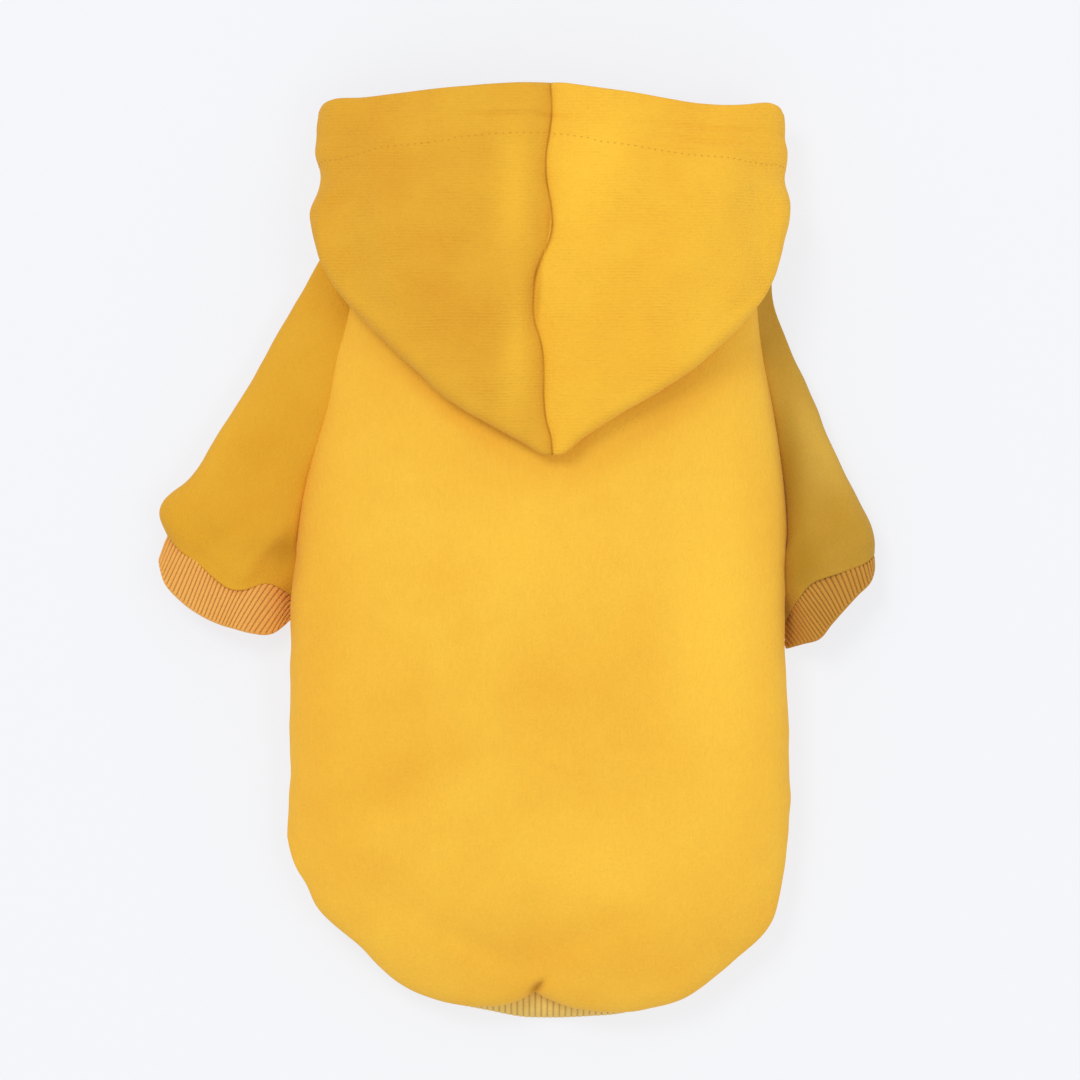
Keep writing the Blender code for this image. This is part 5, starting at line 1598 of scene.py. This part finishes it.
def build_waistband_belly(material):
    """The waistband's belly half: a flat strip below the belly panel's hem."""
    start_y = SEAM_OVERLAP - TAIL_START * BODY_LENGTH
    count = round(2 * HALF_WIDTH * BAND_SEAM_HALF / WAISTBAND_PITCH) * POINTS_A_RIB
    grid = []
    for share in np.linspace(0, 1, BAND_LOOPS):
        half = HALF_WIDTH * (BAND_SEAM_HALF + (BAND_OPEN_HALF - BAND_SEAM_HALF) * share)
        y = start_y - WAISTBAND_DEPTH * share
        grid.append([(half * across, y, 0.0) for across in np.linspace(1, -1, count + 1)])
    build_band("waistband_belly", np.array(grid), material)


def build_band(name, grid, material):
    """One half of the waistband, through a grid of points from its seam to its open edge."""
    rows, columns = grid.shape[:2]
    quads = grid_quads(np.arange(rows * columns).reshape(rows, columns))
    around = np.tile(np.arange(columns) / POINTS_A_RIB, rows)
    normals = band_normals(grid).reshape(-1, 3)
    free = np.repeat(np.arange(rows) == rows - 1, columns) * BAND_EDGE_ROUNDNESS
    outer = grid.reshape(-1, 3)
    cloth = name + "_cloth"
    made = rib_cloth(cloth, outer, normals, quads, around, RIB_CLOTH, free, material, WAISTBAND_RELIEF)
    declare(made, name)


def new_tree(name, inputs):
    """A Geometry Nodes tree with named inputs, and the helper that adds and links its nodes."""
    tree = bpy.data.node_groups.new(name, "GeometryNodeTree")
    tree.interface.new_socket("Geometry", in_out="INPUT", socket_type="NodeSocketGeometry")
    for key, kind in inputs.items():
        tree.interface.new_socket(key, in_out="INPUT", socket_type=kind)
    tree.interface.new_socket("Geometry", in_out="OUTPUT", socket_type="NodeSocketGeometry")
    given = tree.nodes.new("NodeGroupInput")

    def add(kind, inputs=(), **choices):
        made = tree.nodes.new(kind)
        for key, value in choices.items():
            setattr(made, key, value)
        for key, value in dict(inputs).items():
            if isinstance(value, bpy.types.NodeSocket):
                tree.links.new(value, made.inputs[key])
            else:
                made.inputs[key].default_value = value
        return made

    return tree, given.outputs, add


def end_tree(tree, given, add, geometry):
    """Ends a tree in real geometry with its material."""
    real = add("GeometryNodeRealizeInstances", {"Geometry": geometry})
    dyed = add("GeometryNodeSetMaterial", {"Geometry": real.outputs[0], "Material": given["Material"]})
    out = tree.nodes.new("NodeGroupOutput")
    tree.links.new(dyed.outputs[0], out.inputs["Geometry"])
    return tree


def rib_tree():
    """Presses narrow grooves between round ribs, one rib to each unit of the value named around."""
    if "Rib Knit" in bpy.data.node_groups:
        return bpy.data.node_groups["Rib Knit"]
    kinds = {"Rib Depth": "NodeSocketFloat", "Material": "NodeSocketMaterial"}
    tree, given, add = new_tree("Rib Knit", kinds)

    def value(name):
        return add("GeometryNodeInputNamedAttribute", {"Name": name}, data_type="FLOAT").outputs["Attribute"]

    def maths(operation, first, second=0.0):
        return add("ShaderNodeMath", {0: first, 1: second}, operation=operation).outputs[0]

    ridge = maths("ABSOLUTE", maths("SINE", maths("MULTIPLY", value("around"), math.pi)))
    groove = maths("POWER", maths("SUBTRACT", 1.0, ridge), RIB_GROOVE_POWER)
    pressed = maths("MULTIPLY", groove, value("outside"))
    inward = maths("MULTIPLY", maths("MULTIPLY", pressed, given["Rib Depth"]), -1.0)
    normal = add("GeometryNodeInputNormal").outputs[0]
    push = add("ShaderNodeVectorMath", {0: normal, "Scale": inward}, operation="SCALE")
    stored = add(
        "GeometryNodeStoreNamedAttribute",
        {"Geometry": given["Geometry"], "Name": "groove", "Value": pressed},
        data_type="FLOAT",
        domain="POINT",
    )
    moved = add("GeometryNodeSetPosition", {"Geometry": stored.outputs[0], "Offset": push.outputs[0]})
    return end_tree(tree, given, add, moved.outputs[0])


def stitch_tree():
    """Lays a short round stitch at every pitch along a line."""
    if "Stitch Row" in bpy.data.node_groups:
        return bpy.data.node_groups["Stitch Row"]
    kinds = {
        "Pitch": "NodeSocketFloat",
        "Stitch Length": "NodeSocketFloat",
        "Thread Radius": "NodeSocketFloat",
        "Material": "NodeSocketMaterial",
    }
    tree, given, add = new_tree("Stitch Row", kinds)
    line = add("GeometryNodeMeshToCurve", {"Mesh": given["Geometry"]})
    places = add(
        "GeometryNodeResampleCurve", {"Curve": line.outputs[0], "Length": given["Pitch"]}, mode="LENGTH"
    )
    tangent = add("GeometryNodeInputTangent")
    turned = add("FunctionNodeAlignRotationToVector", {"Vector": tangent.outputs[0]}, axis="X")
    round_bead = {"Segments": STITCH_SIDES, "Rings": STITCH_RINGS, "Radius": 1.0}
    bead = add("GeometryNodeMeshUVSphere", round_bead)
    half = add("ShaderNodeMath", {0: given["Stitch Length"], 1: 0.5}, operation="MULTIPLY")
    size = add(
        "ShaderNodeCombineXYZ",
        {"X": half.outputs[0], "Y": given["Thread Radius"], "Z": given["Thread Radius"]},
    )
    laid = add(
        "GeometryNodeInstanceOnPoints",
        {
            "Points": places.outputs[0],
            "Instance": bead.outputs["Mesh"],
            "Rotation": turned.outputs[0],
            "Scale": size.outputs[0],
        },
    )
    return end_tree(tree, given, add, laid.outputs[0])


def grown(made, tree, values):
    """Runs a Geometry Nodes tree on an object and keeps the result as its plain mesh."""
    grower = made.modifiers.new(tree.name, "NODES")
    grower.node_group = tree
    for item in tree.interface.items_tree:
        if item.in_out == "INPUT" and item.name in values:
            grower[item.identifier] = values[item.name]
    made.update_tag()
    seen = bpy.context.evaluated_depsgraph_get()
    plain = bpy.data.meshes.new_from_object(made.evaluated_get(seen))
    old = made.data
    made.modifiers.remove(grower)
    made.data = plain
    plain.name = made.name
    bpy.data.meshes.remove(old)
    plain.shade_smooth()
    return made


class Socket:
    """An output of a shader tree, with arithmetic."""

    def __init__(self, tree, output):
        self.tree = tree
        self.output = output

    def node(self, kind, inputs=(), output=0, **choices):
        """Adds any node, fed by sockets or constants, and returns one of its outputs."""
        made = self.tree.nodes.new(kind)
        for key, value in choices.items():
            setattr(made, key, value)
        for key, value in dict(inputs).items():
            if isinstance(value, Socket):
                self.tree.links.new(value.output, made.inputs[key])
            else:
                made.inputs[key].default_value = value
        return Socket(self.tree, made.outputs[output])

    def math(self, operation, first, second=0.0):
        """One step of arithmetic."""
        return self.node("ShaderNodeMath", {0: first, 1: second}, operation=operation)

    def __add__(self, other):
        return self.math("ADD", self, other)

    __radd__ = __add__

    def __sub__(self, other):
        return self.math("SUBTRACT", self, other)

    def __rsub__(self, other):
        return self.math("SUBTRACT", other, self)

    def __mul__(self, other):
        return self.math("MULTIPLY", self, other)

    __rmul__ = __mul__

    def sine(self):
        """The sine of an angle."""
        return self.math("SINE", self)

    def clamped(self):
        """A value kept between 0 and 1."""
        return self.node("ShaderNodeClamp", {"Value": self})

    def scaled(self, x, y, z):
        """A vector with each part times a share of its own."""
        return self.node("ShaderNodeVectorMath", {0: self, 1: (x, y, z)}, operation="MULTIPLY")

    def times(self, factor):
        """A colour or a vector, every part of it times a factor."""
        return self.node("ShaderNodeVectorMath", {0: self, "Scale": factor}, operation="SCALE")

    def noise(self, grain, stretch=(1.0, 1.0, 1.0)):
        """Noise about 0 on a vector, in a grain's size and detail, longer where stretch is more."""
        at = self.scaled(*[1 / (grain.size * s) for s in stretch])
        given = {"Vector": at, "Scale": 1.0, "Detail": grain.detail, "Roughness": grain.roughness}
        return self.node("ShaderNodeTexNoise", given) - 0.5

    def blob(self, x, y, angle, width, length):
        """1 at a place of the object seen from above, and fading to 0 round it."""
        given = {
            "Vector": self,
            "Location": (x, y, 0.0),
            "Rotation": (0.0, 0.0, math.radians(angle)),
            "Scale": (width, length, THROUGH),
        }
        near = self.node("ShaderNodeMapping", given, vector_type="TEXTURE")
        reach = near.node("ShaderNodeVectorMath", {0: near}, output="Value", operation="LENGTH")
        return self.math("EXPONENT", -1.0 * reach * reach)


def mixed(factor, first, second):
    """A colour between two colours."""
    return factor.node("ShaderNodeMix", {0: factor, 6: first, 7: second}, output=2, data_type="RGBA")


def new_material(name, roughness, sheen):
    """A Principled material and its Object coordinates."""
    material = bpy.data.materials.new(name)
    material.use_nodes = True
    tree = material.node_tree
    shader = tree.nodes["Principled BSDF"]
    shader.inputs["Roughness"].default_value = roughness
    shader.inputs["Specular IOR Level"].default_value = CLOTH_SPECULAR
    shader.inputs["Sheen Weight"].default_value = sheen
    shader.inputs["Sheen Roughness"].default_value = SHEEN_ROUGHNESS
    shader.inputs["Sheen Tint"].default_value = SHEEN_TINT
    coordinates = tree.nodes.new("ShaderNodeTexCoord")
    return material, Socket(tree, coordinates.outputs["Object"]), shader


def finish_surface(place, shader, colour, height, distance):
    """Feeds the colour and a height in units of the distance to the shader."""
    bump = place.node("ShaderNodeBump", {"Strength": 1.0, "Distance": distance, "Height": height})
    place.tree.links.new(colour.output, shader.inputs["Base Color"])
    place.tree.links.new(bump.output, shader.inputs["Normal"])


def shade(colour, value=1.0, tint=(1.0, 1.0, 1.0)):
    """A colour for a shader: a cloth's own colour, times a value and the tint that is set."""
    return (*[part * value * share for part, share in zip(colour, tint)], 1.0)


def fleece_material(name):
    """Brushed fleece: mottled, with a short nap and faint flecks along the knit, and patches of painted shade
    and painted light.
    """
    look, tint, moved = named(FLEECES, name), settings().fleece_tint, part_place()
    material, place, shader = new_material(name, FLEECE_ROUGHNESS, CLOTH_SHEEN)
    mottle = place.noise(WIDE_MOTTLE) * WIDE_MOTTLE.shade + place.noise(FINE_MOTTLE) * FINE_MOTTLE.shade
    light, deep = shade(look.light, tint=tint), shade(look.deep, tint=tint)
    colour = mixed((0.5 + mottle * MOTTLE).clamped(), light, deep)
    # Patches of painted shade, where the cloth is deeper, and of painted light, where it is paler.
    for painted_patch in PAINTED_SHADE_AND_LIGHT:
        if painted_patch.material == name:
            spot = place.blob(painted_patch.x + moved.x, painted_patch.y + moved.y, painted_patch.angle, painted_patch.width, painted_patch.length)
            spot = (spot * min(abs(painted_patch.strength), 1.0)).clamped()
            painted_darkest = 1 - (1 - PAINTED_SHADE_DEEPEST) * max(abs(painted_patch.strength) - 1, 0)
            painted_aim = shade(look.light, PAINTED_LIGHT_SHARE, tint) if painted_patch.strength < 0 else shade(look.deep, painted_darkest, tint)
            colour = mixed(spot, colour, painted_aim)
    flecks, nap, fuzz = place.noise(look.flecks, look.stretch), place.noise(NAP), place.noise(FUZZ)
    grain = 1.0 + flecks * look.flecks.shade + nap * NAP.shade + fuzz * FUZZ.shade
    height = flecks * look.flecks.height + nap * NAP.height + fuzz * FUZZ.height
    if look.row_shade:
        sway = place.noise(ROW_SWAY) * ROW_SWAY.shade
        fade = (ROW_STRENGTH + place.noise(ROW_FADE) * ROW_FADE.shade).clamped()
        down = place.node("ShaderNodeSeparateXYZ", {0: place}, output=1)
        rows = (down * (2 * math.pi / ROW_PITCH) + sway * 2 * math.pi).sine() * fade
        grain = grain + rows * look.row_shade
        height = height + rows * ROW_HEIGHT
        seam = place.node("ShaderNodeAttribute", output="Fac", attribute_name="seam")
        strength = SEAM_LINE_STRENGTH + place.noise(SEAM_LINE_FADE) * SEAM_LINE_FADE.shade
        colour = mixed((seam * strength).clamped(), colour, shade(SEAM_LINE_COLOUR, tint=tint))
    finish_surface(place, shader, colour.times(grain), height, settings().nap_depth)
    return material


def rib_material(name):
    """Rib knit: painted shade in the grooves, with small slanted loops along each rib."""
    look, tint = named(RIBS, name), settings().rib_tint
    material, place, shader = new_material(name, RIB_ROUGHNESS, CLOTH_SHEEN)
    groove = place.node("ShaderNodeAttribute", output="Fac", attribute_name="groove")
    mottle = (0.5 + place.noise(RIB_MOTTLE) * RIB_MOTTLE.shade).clamped()
    colour = mixed(mottle, shade(look.light, tint=tint), shade(look.deep, tint=tint))
    # Painted shade in the ribs' grooves.
    colour = mixed((groove * RIB_GROOVE_SHADE_SHARE).clamped(), colour, shade(look.deep, RIB_GROOVE_SHADE, tint))
    loops, nap = place.noise(LOOPS), place.noise(RIB_NAP)
    grain = 1.0 + loops * LOOPS.shade + nap * RIB_NAP.shade
    height = loops * LOOPS.height + nap * RIB_NAP.height
    finish_surface(place, shader, colour.times(grain), height, settings().nap_depth)
    return material


def thread_material():
    """Matt thread, a little uneven along its twist."""
    material, place, shader = new_material("thread", THREAD_ROUGHNESS, THREAD_SHEEN)
    tint = settings().fleece_tint
    twist = place.noise(TWIST)
    colour = mixed((0.5 + twist).clamped(), shade(THREAD_LIGHT, tint=tint), shade(THREAD_DEEP, tint=tint))
    finish_surface(place, shader, colour, twist, THREAD_RELIEF)
    return material


def floor_material():
    """Pale and matt, and partly lit from below."""
    material = bpy.data.materials.new("floor")
    material.use_nodes = True
    shader = material.node_tree.nodes["Principled BSDF"]
    shader.inputs["Base Color"].default_value = shade(FLOOR_COLOUR, 1 - FLOOR_GLOW)
    shader.inputs["Roughness"].default_value = FLOOR_ROUGHNESS
    shader.inputs["Specular IOR Level"].default_value = 0.0
    shader.inputs["Emission Color"].default_value = shade(FLOOR_COLOUR)
    shader.inputs["Emission Strength"].default_value = FLOOR_GLOW
    return material


def build_floor():
    """A plain pale floor just under the hoodie."""
    half = FLOOR_SIDE / 2
    data = bpy.data.meshes.new("floor")
    corners = [(-half, -half), (half, -half), (half, half), (-half, half)]
    data.from_pydata([(x, y, -FLOOR_DROP) for x, y in corners], [], [(0, 1, 2, 3)])
    data.materials.append(floor_material())
    floor = bpy.data.objects.new("floor", data)
    bpy.context.scene.collection.objects.link(floor)


def build_lights():
    """Soft boxes round the hoodie, each aimed at its middle, and an even pale sky."""
    for lamp in LAMPS:
        light = bpy.data.lights.new(lamp.name, "AREA")
        light.shape = "DISK"
        light.size = lamp.size
        light.energy = lamp.watts
        light.color = LAMP_COLOUR
        box = bpy.data.objects.new(lamp.name, light)
        bpy.context.scene.collection.objects.link(box)
        box.location = (lamp.x, lamp.y, lamp.z)
        box.rotation_euler = (-box.location).to_track_quat("-Z", "Y").to_euler()
    world = bpy.data.worlds.new("studio")
    world.use_nodes = True
    sky = world.node_tree.nodes["Background"]
    sky.inputs["Color"].default_value = shade(SKY_COLOUR)
    sky.inputs["Strength"].default_value = SKY_STRENGTH
    bpy.context.scene.world = world


def build_camera():
    """A long lens straight above, as in the picture."""
    lens = bpy.data.cameras.new("camera")
    lens.lens = LENS
    lens.sensor_width = SENSOR
    lens.clip_end = FURTHEST
    camera = bpy.data.objects.new("camera", lens)
    bpy.context.scene.collection.objects.link(camera)
    above = PICTURE_SIDE * LENS / SENSOR
    place = part_place()
    middle_x, middle_y = PICTURE_MIDDLE
    camera.location = (place.x + middle_x, place.y + middle_y, PICTURE_HEIGHT + above)
    bpy.context.scene.camera = camera


def length_setting(name, description, default, low, high):
    """A small length that a user can set."""
    return bpy.props.FloatProperty(
        name=name,
        description=description,
        default=default,
        min=low,
        max=high,
        subtype="DISTANCE",
        precision=5,
    )


def colour_setting(name, description):
    """A tint that a user can set."""
    return bpy.props.FloatVectorProperty(
        name=name,
        description=description,
        default=(1.0, 1.0, 1.0),
        min=0.0,
        max=1.0,
        size=3,
        subtype="COLOR",
    )


class DogHoodieSettings(bpy.types.PropertyGroup):
    """What can be set before the hoodie is built."""

    fold_strength: bpy.props.FloatProperty(
        name="Fold Strength",
        description="How deep the soft folds are, as a share of their usual depth",
        default=1.0,
        min=0.0,
        max=3.0,
        subtype="FACTOR",
    )
    nap_depth: length_setting("Nap Depth", "Depth of the cloths' fine grain", 0.00035, 0.0, 0.002)
    rib_depth: length_setting("Rib Depth", "Depth of the grooves between the cuffs' ribs", 0.0006, 0.0, 0.002)
    stitch_pitch: length_setting("Stitch Pitch", "From one hem stitch to the next", 0.0026, 0.0005, 0.01)
    stitch_length: length_setting("Stitch Length", "Length of a hem stitch", 0.0009, 0.0003, 0.008)
    thread_radius: length_setting("Thread Radius", "Half a hem stitch's thickness", 0.00016, 0.00005, 0.001)
    fleece_tint: colour_setting("Fleece Tint", "Multiplies the colours of the fleece and the thread")
    rib_tint: colour_setting("Rib Tint", "Multiplies the colours of the rib knit")


class HOODIE_OT_body(bpy.types.Operator):
    """Builds the back and belly panels"""

    bl_idname = "hoodie.body"
    bl_label = "Body"

    def execute(self, context):
        build_back(fleece_material("back_fleece"))
        build_belly(fleece_material("belly_fleece"))
        return {"FINISHED"}


class HOODIE_OT_sleeves(bpy.types.Operator):
    """Builds both sleeves"""

    bl_idname = "hoodie.sleeves"
    bl_label = "Sleeves"

    def execute(self, context):
        for side, own in SIDES.items():
            build_sleeve(side, fleece_material(f"sleeve_{own.name}_fleece"))
        return {"FINISHED"}


class HOODIE_OT_hood(bpy.types.Operator):
    """Builds the hood's two halves and their hem stitches"""

    bl_idname = "hoodie.hood"
    bl_label = "Hood"

    def execute(self, context):
        thread = thread_material()
        for side, own in SIDES.items():
            build_hood(side, fleece_material(f"hood_{own.name}_fleece"), thread)
        return {"FINISHED"}


class HOODIE_OT_cuffs(bpy.types.Operator):
    """Builds both rib-knit cuffs"""

    bl_idname = "hoodie.cuffs"
    bl_label = "Cuffs"

    def execute(self, context):
        for side, own in SIDES.items():
            build_cuff(side, rib_material(f"cuff_{own.name}_rib"))
        return {"FINISHED"}


class HOODIE_OT_waistband(bpy.types.Operator):
    """Builds the rib-knit waistband's two halves"""

    bl_idname = "hoodie.waistband"
    bl_label = "Waistband"

    def execute(self, context):
        rib = rib_material("waistband_rib")
        build_waistband_back(rib)
        build_waistband_belly(rib)
        return {"FINISHED"}


class HOODIE_OT_stage(bpy.types.Operator):
    """Builds the floor, lights and camera"""

    bl_idname = "hoodie.stage"
    bl_label = "Stage"

    def execute(self, context):
        build_floor()
        build_lights()
        build_camera()
        context.scene.view_settings.view_transform = "Standard"
        return {"FINISHED"}


class HOODIE_PT_panel(bpy.types.Panel):
    """Sizes of the finish, and a button for each piece"""

    bl_idname = "HOODIE_PT_panel"
    bl_label = "Dog Hoodie"
    bl_space_type = "VIEW_3D"
    bl_region_type = "UI"
    bl_category = "Hoodie"

    def draw(self, context):
        layout = self.layout
        chosen = context.scene.dog_hoodie
        for key in DogHoodieSettings.__annotations__:
            layout.prop(chosen, key)
        for operator in OPERATORS:
            layout.operator(operator.bl_idname)


OPERATORS = (
    HOODIE_OT_body,
    HOODIE_OT_sleeves,
    HOODIE_OT_hood,
    HOODIE_OT_cuffs,
    HOODIE_OT_waistband,
    HOODIE_OT_stage,
)
CLASSES = (DogHoodieSettings, *OPERATORS, HOODIE_PT_panel)


def register():
    """Adds the settings, the operators and the panel."""
    for kind in CLASSES:
        bpy.utils.register_class(kind)
    bpy.types.Scene.dog_hoodie = bpy.props.PointerProperty(type=DogHoodieSettings)


def unregister():
    """Takes them away again."""
    del bpy.types.Scene.dog_hoodie
    for kind in reversed(CLASSES):
        bpy.utils.unregister_class(kind)


def main():
    """Builds the hoodie and its stage."""
    register()
    bpy.ops.hoodie.body()
    bpy.ops.hoodie.sleeves()
    bpy.ops.hoodie.hood()
    bpy.ops.hoodie.cuffs()
    bpy.ops.hoodie.waistband()
    bpy.ops.hoodie.stage()


if __name__ == "__main__":
    main()
